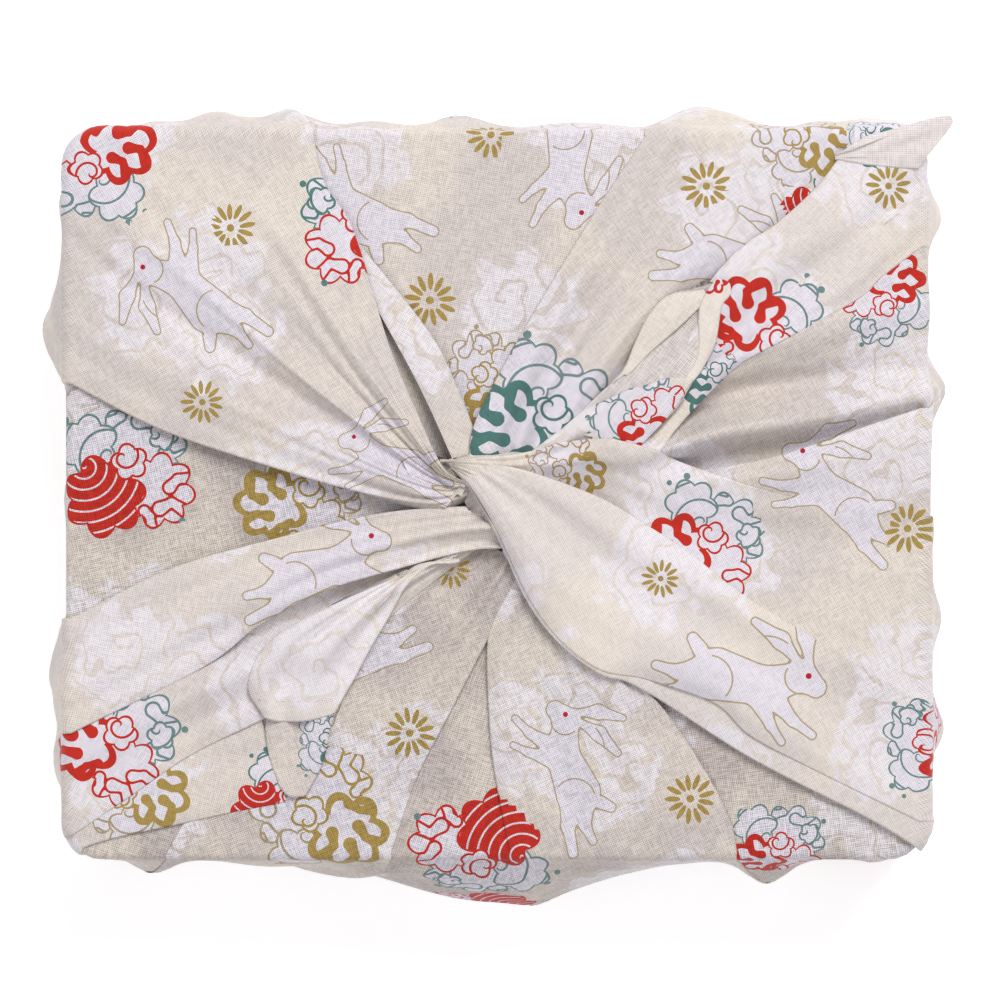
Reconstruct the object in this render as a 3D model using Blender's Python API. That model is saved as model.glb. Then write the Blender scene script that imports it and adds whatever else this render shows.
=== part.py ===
"""A furoshiki wrap: one thin square cotton cloth, folded up over a shallow oblong bundle.

Its four corners are drawn in from the rim as flat pleated leaves, which pass over and under
each other around a twist near the middle of the top. Two free ends stand out of the twist, one
to the north-east and one to the south-west. The cloth has no fastening and no other piece, so
it is one solid: the filled, wrapped form, with each fold as a step or a soft ridge.

Metres, +Z up, +X east and +Y north as seen from above. The underside lies on Z = 0.
"""

import math

import bmesh
import bpy
import numpy as np
from mathutils import Vector
from mathutils.bvhtree import BVHTree
from mathutils.geometry import delaunay_2d_cdt

MM = 0.001

# The wrapped form, over the cloth, in millimetres.
WRAP_LENGTH = 214.8
WRAP_DEPTH = 182.5
WRAP_HEIGHT = 60.0
WRAP_CENTRE = (-0.9, 2.9)
CORNER_RADIUS = 9.0
RIM_RADIUS = 3.0
BASE_INSET = 1.5
SWELL_FADE = 0.2
FOLD_FADE = 0.3
TWIST = (-6.0, 6.0)
GROUND_RISE = 1.6
GROUND_REACH = 34.0

# How finely the solid follows the folds, in millimetres.
TOP_PITCH = 4.9
RIM_PITCH = 4.4
WALL_ROWS = 6
FOLD_STEP = 3.6
LIP_INSET = 0.25
FOOT_OUTSET = 0.75
CLEAR_OF_FOLD = 1.7
CLEAR_OF_RIM = 1.3
PAST_RIM = 0.8

# Each fold line runs from the twist outwards, through points in millimetres east and north.
FOLD_LINES = {
    "flap_low": [(-1, 0.5), (-14.5, -0.4), (-36, 4.6), (-59, 11), (-84.5, 19.6), (-108, 31.6)],
    "flap_edge": [(-6, 3), (-12.8, 6.4), (-19.8, 21.6), (-28, 40.6), (-36.8, 69), (-44, 81), (-47, 94)],
    "sliver_inner": [(-9, 6), (-22, 34), (-42, 68), (-62, 94)],
    "sliver_edge": [(-6, 8), (-6, 17), (-11.3, 31), (-17.8, 43.4), (-34.5, 64.6), (-45, 78), (-54, 94)],
    "north_edge": [(-7, 6), (-6.5, 19), (1.3, 35), (12.3, 54), (25.8, 76), (37.8, 94)],
    "north_inner": [(20, 8), (48, 44), (76, 66), (100, 94)],
    "gap_edge": [(22, 12), (38, 36), (54.5, 58), (62.8, 66), (69.8, 70.6), (80.8, 81), (90, 94)],
    "band_edge": [(38, 11), (43.8, 19), (53.5, 29.4), (62.8, 37.4), (88.8, 51.6), (95.3, 57.4), (106.5, 66)],
    "east_inner": [(24, 10), (56, 42), (84, 62), (106.5, 78)],
    "cross_top": [(-14.5, 10.9), (-5, 12), (3.8, 12.4), (22, 16.4), (34, 15), (50.3, 9), (68, 3.4), (106.5, -3)],
    "cross_fold": [(-6, 11.5), (9.8, 7.6), (25, 2), (37, -5), (46.3, -11), (60.5, -22), (80, -34), (106.5, -50)],
    "cross_low": [(-14.5, 10.9), (-8.5, 6), (-3, -2.6), (1.3, -11), (6.8, -23), (14.5, -33.4), (25, -41.4),
                  (35.3, -45), (62.8, -62.4), (92.5, -77.6), (106.5, -86)],
    "cross_front": [(-13.5, 10.9), (-7.9, 6.2), (-2.5, -2.2), (2, -11), (7.5, -22.6), (15, -32.8), (25.4, -40.4),
                    (37, -43), (54, -49), (62.8, -57), (79, -65.6), (106.5, -79)],
    "south_right": [(25, -38), (35.3, -45), (46.5, -58.6), (57, -77), (59.5, -88.4)],
    "south_left": [(6, -14), (3.5, -20), (-1, -28.4), (-2.8, -36), (-2, -56), (-0.3, -69.4), (3.5, -88.4)],
    "recess_left": [(6, -14), (3, -21), (-6.8, -40), (-13.3, -52.6), (-21, -68), (-28, -88.4)],
    "lower_inner": [(-10, -6), (-40, -30), (-66, -58), (-84, -88.4)],
    "strip_top": [(-1, 0), (-17.5, -0.9), (-32.8, -3), (-55.3, -8.4), (-82.3, -16), (-108.3, -29)],
    "strip_low": [(3, -9.5), (-8.5, -10.4), (-26.5, -15.4), (-44.8, -21.4), (-60.5, -30), (-74, -40), (-108.3, -57)],
    "band_west": [(0, -3), (-40, -12), (-76, -24), (-108.3, -40)],
    "band_low": [(-6, -11), (-28, -28), (-44, -45), (-58.5, -52.6), (-77.3, -62), (-92, -72), (-108.3, -83)],
    "corner_inner": [(-34, -40), (-60, -52), (-84, -58), (-108.3, -66)],
    "corner_low": [(-36, -68), (-48.5, -72.6), (-71.5, -78), (-90, -83), (-106, -88.4)],
    "tail_north": [(6, 12), (15.3, 19), (30.3, 32), (34.3, 39.4), (39.3, 49), (44.5, 53), (52.8, 57.4)],
    "tail_east": [(31, 14), (35, 15.5), (40, 20), (47, 31), (51.5, 35.5), (54.3, 42.4), (56.3, 53.6)],
    "tail_west": [(-14, -13), (-41.5, -24.6), (-57, -33), (-61.5, -43), (-58.8, -53), (-57, -62), (-54, -69.4)],
    "tail_south": [(-10, -13), (-20.5, -16), (-29.8, -30.4), (-42, -53), (-44.3, -63.9), (-48.5, -72.6)],
}

# The leaves of cloth from the bottom up, each between two fold lines. A lift is how far the leaf
# lies above the bundle's flat top, in millimetres, at the twist, halfway and at its outer end. An end
# on the rim goes on down the wall, and a free end stops on the top.
LEAF_COLUMNS = ("name", "left", "right", "left_lift", "right_lift", "crown", "free_end")
LEAVES = [
    ("lower", "lower_inner", "recess_left", (3, 0.8, 0.4), (4.5, 2.0, 0.4), 1.0, False),
    ("south", "south_left", "south_right", (5, 2.4, 1.0), (4, 2.2, 1.2), 1.4, False),
    ("sliver", "sliver_inner", "sliver_edge", (6, 2.5, 0.5), (6.5, 3.0, 0.6), 0.4, False),
    ("north", "north_edge", "north_inner", (7, 3.0, 1.0), (6, 2.0, 0.8), 1.6, False),
    ("east", "east_inner", "cross_low", (6, 1.8, 0.8), (4, 1.0, 0.6), 1.4, False),
    ("band", "gap_edge", "band_edge", (8, 4.2, 2.0), (8, 4.2, 2.0), 1.2, False),
    ("corner", "corner_inner", "corner_low", (1.2, 1.3, 1.2), (1.4, 1.6, 1.4), 0.3, False),
    ("west", "band_west", "band_low", (6, 3.0, 1.4), (5, 3.4, 2.4), 1.0, False),
    ("strip", "strip_top", "strip_low", (9, 5.0, 2.2), (8, 5.0, 2.6), 1.0, False),
    ("flap", "flap_low", "flap_edge", (9, 5.0, 2.0), (10, 5.2, 2.0), 1.2, False),
    ("tail_sw", "tail_west", "tail_south", (8, 6.5, 5.5), (8, 6.0, 5.0), 0.8, True),
    ("tail_ne", "tail_north", "tail_east", (10, 8.0, 7.5), (10, 8.0, 7.5), 1.0, True),
    ("cross", "cross_top", "cross_low", (12.5, 3.0, -1.0), (10.5, 3.4, 1.6), 1.0, False),
    ("front", "cross_fold", "cross_front", (14, 3.8, -1.0), (13, 5.4, 3.0), 1.2, False),
]

# Soft folds within a leaf. Their place runs from 0 at its left fold line to 1 at its right one,
# at the twist and at the outer end. A height is in millimetres, at the twist, halfway and at
# the outer end: above 0 for a ridge and below 0 for a trough.
CREASE_COLUMNS = ("leaf", "place_in", "place_out", "half_width", "heights")
CREASES = [
    ("flap", 0.38, 0.30, 3.4, (-1.6, -1.8, -0.3)),
    ("flap", 0.20, 0.12, 3.0, (1.2, 0.9, 0.2)),
    ("flap", 0.62, 0.52, 6.0, (-1.2, -1.2, -0.2)),
    ("north", 0.34, 0.30, 4.5, (-2.0, -1.6, -0.4)),
    ("north", 0.58, 0.62, 5.0, (1.4, 1.4, 0.8)),
    ("north", 0.78, 0.84, 4.0, (-1.4, -1.8, -1.2)),
    ("band", 0.35, 0.42, 4.5, (1.6, 1.4, 0.6)),
    ("band", 0.66, 0.74, 4.0, (-1.4, -1.4, -0.6)),
    ("east", 0.26, 0.22, 4.0, (-2.0, -2.0, -0.8)),
    ("east", 0.40, 0.31, 4.0, (1.6, 1.8, 0.6)),
    ("east", 0.52, 0.40, 3.6, (-2.6, -2.6, -1.4)),
    ("east", 0.62, 0.50, 7.0, (1.0, 1.2, 0.6)),
    ("cross", 0.30, 0.34, 5.0, (-1.0, -0.8, 0.0)),
    ("front", 0.42, 0.40, 6.0, (-1.6, -1.0, 0.0)),
    ("front", 0.70, 0.66, 7.0, (1.0, 0.9, 0.3)),
    ("south", 0.30, 0.32, 6.0, (-1.4, -0.9, -0.6)),
    ("south", 0.72, 0.70, 6.0, (1.0, 0.8, 0.4)),
    ("lower", 0.55, 0.50, 6.0, (-1.2, -0.6, -0.2)),
    ("west", 0.42, 0.36, 3.6, (-2.2, -2.2, -0.8)),
    ("west", 0.66, 0.60, 4.0, (1.8, 1.6, 0.4)),
    ("west", 0.86, 0.80, 3.0, (-1.2, -1.0, -0.2)),
    ("strip", 0.50, 0.56, 4.0, (1.2, 0.8, 0.2)),
    ("tail_sw", 0.36, 0.45, 3.0, (-1.4, -1.6, -0.6)),
    ("tail_ne", 0.50, 0.55, 3.0, (-1.0, -1.8, -0.8)),
]

# Where the cloth stands out from the wall below the rim: the middle of the swell in millimetres
# east and north, its half length along the wall, how far it stands out, how high its middle is as
# a share of the wrap's height, and its half height as such a share.
SWELL_COLUMNS = ("east", "north", "half_length", "out", "middle", "half_height")
SWELLS = [
    (-108, 45.5, 17, 5.2, 0.55, 0.42),
    (-108, -41, 12, 4.2, 0.55, 0.40),
    (-108, -66, 14, 1.8, 0.50, 0.40),
    (106, 74, 10, 3.6, 0.60, 0.40),
    (106, 27.5, 9, 3.8, 0.60, 0.40),
    (106, -27, 11, 3.8, 0.60, 0.40),
    (106, -57, 12, 3.0, 0.55, 0.40),
    (-71, 94, 12, 5.0, 0.55, 0.40),
    (-50, 94, 9, 4.6, 0.55, 0.40),
    (-12, 94, 11, 3.6, 0.55, 0.40),
    (18, 94, 22, 2.4, 0.50, 0.40),
    (54.8, 94, 14, 5.6, 0.60, 0.42),
    (84, 94, 12, 2.6, 0.50, 0.40),
    (-88, -88, 10, 2.6, 0.50, 0.40),
    (-60, -88, 16, 2.4, 0.50, 0.40),
    (4, -88, 40, 10.6, 0.45, 0.46),
    (69, -88, 10, 5.2, 0.55, 0.40),
    (107, 94, 9, 7.6, 0.95, 0.07),
]

# Soft folds down the wall, each from a place on the rim to a place at the base, in millimetres
# east and north. They carry on where leaves pass over the rim, and lean towards the corners.
WALL_FOLD_COLUMNS = ("rim", "base", "half_width", "height")
WALL_FOLDS = [
    ((-47, 94), (-72, 94), 5.0, 2.2),
    ((-82, 94), (-99, 94), 4.5, 1.8),
    ((2, 94), (-22, 94), 6.0, 1.6),
    ((38, 94), (62, 94), 5.0, 2.2),
    ((88, 94), (98, 94), 4.5, 1.8),
    ((-80, -88), (-98, -88), 4.5, 2.0),
    ((-28, -88), (-58, -88), 5.0, 2.2),
    ((4, -88), (14, -88), 6.0, 1.6),
    ((59, -88), (78, -88), 5.0, 2.2),
    ((92, -88), (99, -88), 4.5, 1.6),
    ((-108, 72), (-108, 86), 4.5, 1.6),
    ((-108, 31.6), (-108, 58), 5.0, 2.2),
    ((-108, -2), (-108, 12), 6.0, 1.4),
    ((-108, -29), (-108, -54), 5.0, 2.2),
    ((-108, -57), (-108, -76), 4.5, 1.8),
    ((106.5, 66), (106.5, 84), 4.5, 2.0),
    ((106.5, 24), (106.5, 46), 5.0, 2.2),
    ((106.5, -8), (106.5, -2), 6.0, 1.4),
    ((106.5, -50), (106.5, -66), 5.0, 2.2),
    ((106.5, -79), (106.5, -83), 4.5, 1.6),
]

# Folds that show as a step, and the share of each, from the twist outwards, over which it does.
STEPS = [
    ("flap", "left", 0.04, 1.0),
    ("flap", "right", 0.04, 1.0),
    ("sliver", "right", 0.06, 0.72),
    ("north", "left", 0.10, 1.0),
    ("band", "left", 0.45, 1.0),
    ("band", "right", 0.06, 1.0),
    ("cross", "left", 0.05, 0.66),
    ("cross", "right", 0.50, 1.0),
    ("front", "left", 0.08, 0.68),
    ("front", "right", 0.02, 1.0),
    ("south", "left", 0.08, 1.0),
    ("south", "right", 0.20, 1.0),
    ("lower", "right", 0.10, 0.72),
    ("strip", "left", 0.06, 1.0),
    ("strip", "right", 0.10, 1.0),
    ("west", "right", 0.55, 1.0),
    ("corner", "right", 0.18, 1.0),
    ("tail_sw", "left", 0.35, 1.0),
    ("tail_sw", "right", 0.14, 1.0),
    ("tail_ne", "left", 0.10, 1.0),
    ("tail_ne", "right", 0.08, 1.0),
]

CLOTH_COLOUR = (0.83, 0.76, 0.66, 1.0)
CLOTH_ROUGHNESS = 0.9


def as_rows(columns, table):
    """A table as one dictionary for each row, by the names of its columns."""
    return [dict(zip(columns, row)) for row in table]


def eased(values, share):
    """A value that runs smoothly through three values, at 0, 0.5 and 1."""
    share = np.clip(share, 0.0, 1.0)
    half = np.minimum(np.floor(share * 2.0), 1.0).astype(int)
    part = share * 2.0 - half
    part = part * part * (3.0 - 2.0 * part)
    stations = np.array(values, dtype=float)
    return stations[half] * (1.0 - part) + stations[half + 1] * part


def smooth_curve(points, count):
    """Points evenly spaced along a smooth curve through a few given ones."""
    knots = np.array(points, dtype=float)
    ends = np.vstack([2 * knots[0] - knots[1], knots, 2 * knots[-1] - knots[-2]])
    fine = []
    part = np.linspace(0.0, 1.0, 16, endpoint=False)[:, None]
    for before, start, end, after in zip(ends, ends[1:], ends[2:], ends[3:]):
        fine.append(
            0.5
            * (
                2 * start
                + (end - before) * part
                + (2 * before - 5 * start + 4 * end - after) * part**2
                + (3 * start - before - 3 * end + after) * part**3
            )
        )
    fine = np.vstack([*fine, knots[-1:]])
    along = np.concatenate([[0.0], np.cumsum(np.linalg.norm(np.diff(fine, axis=0), axis=1))])
    wanted = np.linspace(0.0, along[-1], count)
    return np.column_stack([np.interp(wanted, along, fine[:, k]) for k in (0, 1)])


def outline_samples(inset, pitch):
    """Points and outward directions around the wrap's rounded outline, anticlockwise."""
    half = (WRAP_LENGTH / 2 - CORNER_RADIUS, WRAP_DEPTH / 2 - CORNER_RADIUS)
    radius = CORNER_RADIUS - inset
    points = []
    outward = []
    for quarter, (sx, sy) in enumerate([(1, 1), (-1, 1), (-1, -1), (1, -1)]):
        corner = np.array([WRAP_CENTRE[0] + sx * half[0], WRAP_CENTRE[1] + sy * half[1]])
        turns = max(3, round(math.pi / 2 * CORNER_RADIUS / pitch))
        for k in range(turns + 1):
            angle = math.pi / 2 * (quarter + k / turns)
            way = np.array([math.cos(angle), math.sin(angle)])
            points.append(corner + radius * way)
            outward.append(way)
        straight = 2 * half[0] if quarter % 2 == 0 else 2 * half[1]
        steps = round(straight / pitch)
        side = np.array([-math.sin(angle), math.cos(angle)])
        for k in range(1, steps):
            points.append(corner + radius * way + side * straight * k / steps)
            outward.append(way)
    return np.array(points), np.array(outward)


def rim_path(start, end, count):
    """Evenly spaced points along the rim, the shorter way round between two places on it."""
    rim, _ = outline_samples(0.0, 1.0)
    first = int(np.argmin(np.linalg.norm(rim - start, axis=1)))
    last = int(np.argmin(np.linalg.norm(rim - end, axis=1)))
    around = (last - first) % len(rim)
    if around > len(rim) / 2:
        around -= len(rim)
    way = rim[[(first + k) % len(rim) for k in range(0, around, int(math.copysign(1, around)))]]
    return smooth_curve(np.vstack([way[::3], end]), count)


def leaf_grid(leaf, rows, columns):
    """The leaf's middle surface, rows from the twist outwards and columns from left to right."""
    left = smooth_curve(FOLD_LINES[leaf["left"]], rows)
    right = smooth_curve(FOLD_LINES[leaf["right"]], rows)
    u = np.linspace(0.0, 1.0, rows)[:, None, None]
    v = np.linspace(0.0, 1.0, columns)[None, :, None]
    inner = left[0] * (1 - v[0]) + right[0] * v[0]
    if leaf["free_end"]:
        outer = left[-1] * (1 - v[0]) + right[-1] * v[0]
    else:
        outer = rim_path(left[-1], right[-1], columns)
    flat = (1 - v) * left[:, None] + v * right[:, None] + (1 - u) * inner + u * outer
    flat -= (1 - u) * ((1 - v) * left[0] + v * right[0]) + u * ((1 - v) * left[-1] + v * right[-1])
    u = u[:, :, 0]
    v = v[:, :, 0]
    lift = (1 - v) * eased(leaf["left_lift"], u) + v * eased(leaf["right_lift"], u)
    lift = lift + leaf["crown"] * np.sin(math.pi * u) * 4 * v * (1 - v)
    across = np.linalg.norm(np.diff(flat, axis=1), axis=2).sum(axis=1)[:, None]
    for crease in as_rows(CREASE_COLUMNS, CREASES):
        if crease["leaf"] == leaf["name"]:
            place = crease["place_in"] * (1 - u) + crease["place_out"] * u
            away = (v - place) * across / crease["half_width"]
            lift = lift + eased(crease["heights"], u) * np.exp(-(away**2))
    return np.dstack([flat, WRAP_HEIGHT + lift])


def grid_faces(rows, columns, first):
    """The four-sided faces of a grid whose vertices start at the number first."""
    faces = []
    for i in range(rows - 1):
        for j in range(columns - 1):
            a = first + i * columns + j
            faces.append((a, a + 1, a + columns + 1, a + columns))
    return faces


def leaf_tree():
    """All leaves as one tree for looking down on the bundle's top."""
    vertices = []
    faces = []
    for leaf in as_rows(LEAF_COLUMNS, LEAVES):
        grid = leaf_grid(leaf, 48, 40)
        faces.extend(grid_faces(48, 40, len(vertices)))
        vertices.extend(map(tuple, grid.reshape(-1, 3)))
    return BVHTree.FromPolygons(vertices, faces)


def ground_height(x, y):
    """The lowest cloth on top, which rises a little towards the twist."""
    away = math.hypot(x - TWIST[0], y - TWIST[1])
    return WRAP_HEIGHT + GROUND_RISE * math.exp(-((away / GROUND_REACH) ** 2))


def top_height(tree, x, y):
    """The height of the uppermost cloth at a place on the top."""
    ground = ground_height(x, y)
    hit = tree.ray_cast(Vector((x, y, WRAP_HEIGHT * 2)), Vector((0, 0, -1)))[0]
    return ground if hit is None else max(ground, hit.z)


def step_lines():
    """For each fold that shows as a step, its lip on the leaf and its foot beside the leaf."""
    leaves = {leaf["name"]: leaf for leaf in as_rows(LEAF_COLUMNS, LEAVES)}
    lines = []
    for name, side, start, end in STEPS:
        fine = smooth_curve(FOLD_LINES[leaves[name][side]], 400)
        fine = fine[int(399 * start) : int(399 * end) + 1]
        length = np.linalg.norm(np.diff(fine, axis=0), axis=1).sum()
        picked = np.linspace(0, len(fine) - 1, max(3, round(length / FOLD_STEP))).astype(int)
        ahead = fine[np.minimum(picked + 2, len(fine) - 1)] - fine[np.maximum(picked - 2, 0)]
        ahead /= np.linalg.norm(ahead, axis=1)[:, None]
        rightwards = np.column_stack([ahead[:, 1], -ahead[:, 0]])
        inwards = rightwards if side == "left" else -rightwards
        lines.append(fine[picked] + inwards * LIP_INSET)
        lines.append(fine[picked] - inwards * FOOT_OUTSET)
    return lines


def swell_out(points, shares):
    """How far the wall stands out at each place on the rim (rows) and share of height (columns)."""
    out = np.zeros((len(points), len(shares)))
    for swell in as_rows(SWELL_COLUMNS, SWELLS):
        place = np.array([swell["east"], swell["north"]])
        away = np.linalg.norm(points - place, axis=1) / swell["half_length"]
        along = np.where(away < 1.6, np.exp(-1.6 * away**2) - math.exp(-1.6 * 2.56), 0.0)
        above = (shares - swell["middle"]) / swell["half_height"]
        out += swell["out"] * along[:, None] * np.exp(-(above**2))[None, :]
    for fold in as_rows(WALL_FOLD_COLUMNS, WALL_FOLDS):
        line = np.outer(shares, fold["rim"]) + np.outer(1 - shares, fold["base"])
        away = np.linalg.norm(points[:, None, :] - line[None, :, :], axis=2) / fold["half_width"]
        out += fold["height"] * np.exp(-(away**2)) * np.clip((1 - shares) / FOLD_FADE, 0.0, 1.0)
    return out * np.clip(shares / SWELL_FADE, 0.0, 1.0)


def top_mesh(tree):
    """The top as points and triangles, with a vertex row on each side of every step."""
    rim, _ = outline_samples(RIM_RADIUS, RIM_PITCH)
    inside = np.array([WRAP_LENGTH / 2, WRAP_DEPTH / 2]) - RIM_RADIUS - CLEAR_OF_RIM
    points = [tuple(p) for p in rim]
    edges = [(k, (k + 1) % len(rim)) for k in range(len(rim))]
    folds = []
    for line in step_lines():
        kept = np.all(np.abs(line - WRAP_CENTRE) < inside + CLEAR_OF_RIM + PAST_RIM, axis=1)
        line = line[kept]
        if len(line) < 2:
            continue
        first = len(points)
        points.extend(map(tuple, line))
        edges.extend((first + k, first + k + 1) for k in range(len(line) - 1))
        folds.append(line)
    near = np.vstack(folds)
    count_y = round(WRAP_DEPTH / (TOP_PITCH * math.sqrt(3) / 2))
    for j in range(count_y + 1):
        y = WRAP_CENTRE[1] - WRAP_DEPTH / 2 + j * WRAP_DEPTH / count_y
        count_x = round(WRAP_LENGTH / TOP_PITCH)
        for i in range(count_x + 1):
            x = WRAP_CENTRE[0] - WRAP_LENGTH / 2 + (i + 0.5 * (j % 2)) * TOP_PITCH
            place = np.array([x, y])
            if np.any(np.abs(place - WRAP_CENTRE) > inside):
                continue
            if np.min(np.linalg.norm(near - place, axis=1)) > CLEAR_OF_FOLD:
                points.append((x, y))
    made = delaunay_2d_cdt([Vector(p) for p in points], edges, [tuple(range(len(rim)))], 1, 1e-4)
    vertices = [(p.x, p.y, top_height(tree, p.x, p.y)) for p in made[0]]
    return vertices, [tuple(f) for f in made[2]]


def outer_loop(faces):
    """The vertices on the open edge of a mesh, in order."""
    sides = set()
    for face in faces:
        for a, b in zip(face, face[1:] + face[:1]):
            sides.add((a, b))
    following = {a: b for a, b in sides if (b, a) not in sides}
    loop = [min(following)]
    while following[loop[-1]] != loop[0]:
        loop.append(following[loop[-1]])
    return loop


def wrapped_mesh():
    """The whole closed form: top, rounded rim, swelling walls and flat underside."""
    vertices, faces = top_mesh(leaf_tree())
    loop = outer_loop(faces)
    start = np.array([vertices[k] for k in loop])
    rim, outward = outline_samples(RIM_RADIUS, 0.5)
    nearest = [int(np.argmin(np.linalg.norm(rim - p[:2], axis=1))) for p in start]
    way = outward[nearest]
    lift = start[:, 2] - WRAP_HEIGHT
    bends = [math.radians(a) for a in (35, 70)]
    wall = np.linspace(WRAP_HEIGHT - RIM_RADIUS, 0.0, WALL_ROWS + 1)
    shares = wall / WRAP_HEIGHT
    swell = swell_out(start[:, :2] + way * RIM_RADIUS, shares)
    rings = []
    for bend in bends:
        ring = start.copy()
        ring[:, :2] += way * RIM_RADIUS * math.sin(bend)
        ring[:, 2] -= RIM_RADIUS * (1 - math.cos(bend)) + lift * (1 - math.cos(bend))
        ring[:, :2] += way * lift[:, None] * math.sin(bend)
        rings.append(ring)
    for row, height in enumerate(wall):
        ring = start.copy()
        inset = BASE_INSET * (1 - shares[row]) ** 2
        out = RIM_RADIUS - inset + lift * shares[row] + swell[:, row]
        ring[:, :2] += way * out[:, None]
        ring[:, 2] = height
        rings.append(ring)
    above = loop
    for ring in rings:
        first = len(vertices)
        vertices.extend(map(tuple, ring))
        below = list(range(first, first + len(loop)))
        for k in range(len(loop)):
            nxt = (k + 1) % len(loop)
            faces.append((above[k], below[k], below[nxt], above[nxt]))
        above = below
    faces.append(tuple(reversed(above)))
    return vertices, faces


def cloth_material():
    """Plain cream cotton."""
    material = bpy.data.materials.new("cotton_cloth")
    material.use_nodes = True
    shader = material.node_tree.nodes["Principled BSDF"]
    shader.inputs["Base Color"].default_value = CLOTH_COLOUR
    shader.inputs["Roughness"].default_value = CLOTH_ROUGHNESS
    shader.inputs["Metallic"].default_value = 0.0
    return material


def build_wrap():
    """The wrapped cloth, centred over the origin, with its underside on Z = 0."""
    vertices, faces = wrapped_mesh()
    places = np.array(vertices) * MM
    middle = (places.min(axis=0) + places.max(axis=0)) / 2
    places[:, :2] -= middle[:2]
    mesh = bpy.data.meshes.new("wrapped_cloth")
    mesh.from_pydata(places.tolist(), [], faces)
    mesh.materials.append(cloth_material())
    work = bmesh.new()
    work.from_mesh(mesh)
    bmesh.ops.triangulate(work, faces=work.faces[:], quad_method="SHORT_EDGE")
    bmesh.ops.recalc_face_normals(work, faces=work.faces[:])
    work.to_mesh(mesh)
    work.free()
    mesh.shade_smooth()
    wrap = bpy.data.objects.new("wrapped_cloth", mesh)
    bpy.context.scene.collection.objects.link(wrap)
    print("wrapped_cloth:", len(mesh.polygons), "triangles, shifted by", (-middle[:2] * 1000).round(2), "mm")
    return wrap


for old in list(bpy.data.objects):
    bpy.data.objects.remove(old)
build_wrap()
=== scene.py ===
# %% [markdown]
# # A furoshiki wrap in printed cotton
#
# The object is one square of thin cotton, about 50 cm on a side, folded up over an oblong bundle
# and drawn in to a flat twist on top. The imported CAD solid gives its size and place. This script
# lays a thin sheet on that solid, leaf by leaf, and prints and weaves the cotton with shader nodes.

# %% Load the frame
import math

import bpy
import numpy as np
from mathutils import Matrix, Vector
from mathutils.bvhtree import BVHTree


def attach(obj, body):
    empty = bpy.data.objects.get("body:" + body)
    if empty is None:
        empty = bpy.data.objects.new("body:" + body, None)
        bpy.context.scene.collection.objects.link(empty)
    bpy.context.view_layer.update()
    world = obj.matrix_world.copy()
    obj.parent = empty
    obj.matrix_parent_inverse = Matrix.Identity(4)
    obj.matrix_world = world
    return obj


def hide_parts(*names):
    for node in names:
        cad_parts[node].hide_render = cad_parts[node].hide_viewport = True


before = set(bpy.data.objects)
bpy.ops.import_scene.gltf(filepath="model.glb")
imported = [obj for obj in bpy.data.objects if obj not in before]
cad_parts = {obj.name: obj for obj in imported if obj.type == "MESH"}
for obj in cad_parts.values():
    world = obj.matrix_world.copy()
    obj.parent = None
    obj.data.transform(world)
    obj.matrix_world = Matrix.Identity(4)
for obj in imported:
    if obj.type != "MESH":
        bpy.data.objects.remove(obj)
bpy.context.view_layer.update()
MM = 0.001


# %% [markdown]
# Two small helpers serve all materials. Colours are given as sRGB hex values, and Blender
# shades in linear light, so one function turns the first into the second. The other adds a node,
# sets it up and links it.


# %% Colour and node helpers
def linear(hex_colour):
    """An sRGB hex colour as linear RGBA."""
    parts = [int(hex_colour[k : k + 2], 16) / 255 for k in (1, 3, 5)]
    return tuple(c / 12.92 if c <= 0.04045 else ((c + 0.055) / 1.055) ** 2.4 for c in parts) + (1.0,)


# The kinds of shader node that are used often.
MATH = "ShaderNodeMath"
VECTOR_MATH = "ShaderNodeVectorMath"
MIX = "ShaderNodeMix"
GROUP = "ShaderNodeGroup"
SEPARATE = "ShaderNodeSeparateXYZ"
MAP_RANGE = "ShaderNodeMapRange"
NOISE = "ShaderNodeTexNoise"


def add_node(tree, kind, inputs=None, **settings):
    """A node of this kind, with its settings made and its inputs set or linked."""
    made = tree.nodes.new(kind)
    for key, value in settings.items():
        setattr(made, key, value)
    for key, value in (inputs or {}).items():
        if isinstance(value, bpy.types.Node):
            value = value.outputs[0]
        if isinstance(value, bpy.types.NodeSocket):
            tree.links.new(value, made.inputs[key])
        else:
            made.inputs[key].default_value = value
    return made


# %% [markdown]
# The photograph looks straight down on the bundle. A long lens from well above does the same, and
# its width is chosen so that a quarter of a millimetre on the top is one pixel. Soft light from a
# large lamp and a pale surround gives faint shadows under the folds.

# %% Camera, lights and floor
PIXEL = 0.25 * MM
IMAGE_SIDE = 1000
TOP_HEIGHT = 60 * MM
CAMERA_ABOVE_TOP = 2.4
SENSOR = 36.0
# How far the fold tables' own origin lies from the frame's, as the solid was centred.
SHIFT = (1.77, -0.41)
IMAGE_MIDDLE = (0.25, 1.6)

lens = bpy.data.cameras.new("camera")
lens.sensor_width = SENSOR
lens.lens = SENSOR * CAMERA_ABOVE_TOP / (PIXEL * IMAGE_SIDE)
camera = bpy.data.objects.new("camera", lens)
camera.location = (
    (IMAGE_MIDDLE[0] + SHIFT[0]) * MM,
    (IMAGE_MIDDLE[1] + SHIFT[1]) * MM,
    TOP_HEIGHT + CAMERA_ABOVE_TOP,
)
bpy.context.scene.collection.objects.link(camera)
bpy.context.scene.camera = camera

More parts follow.
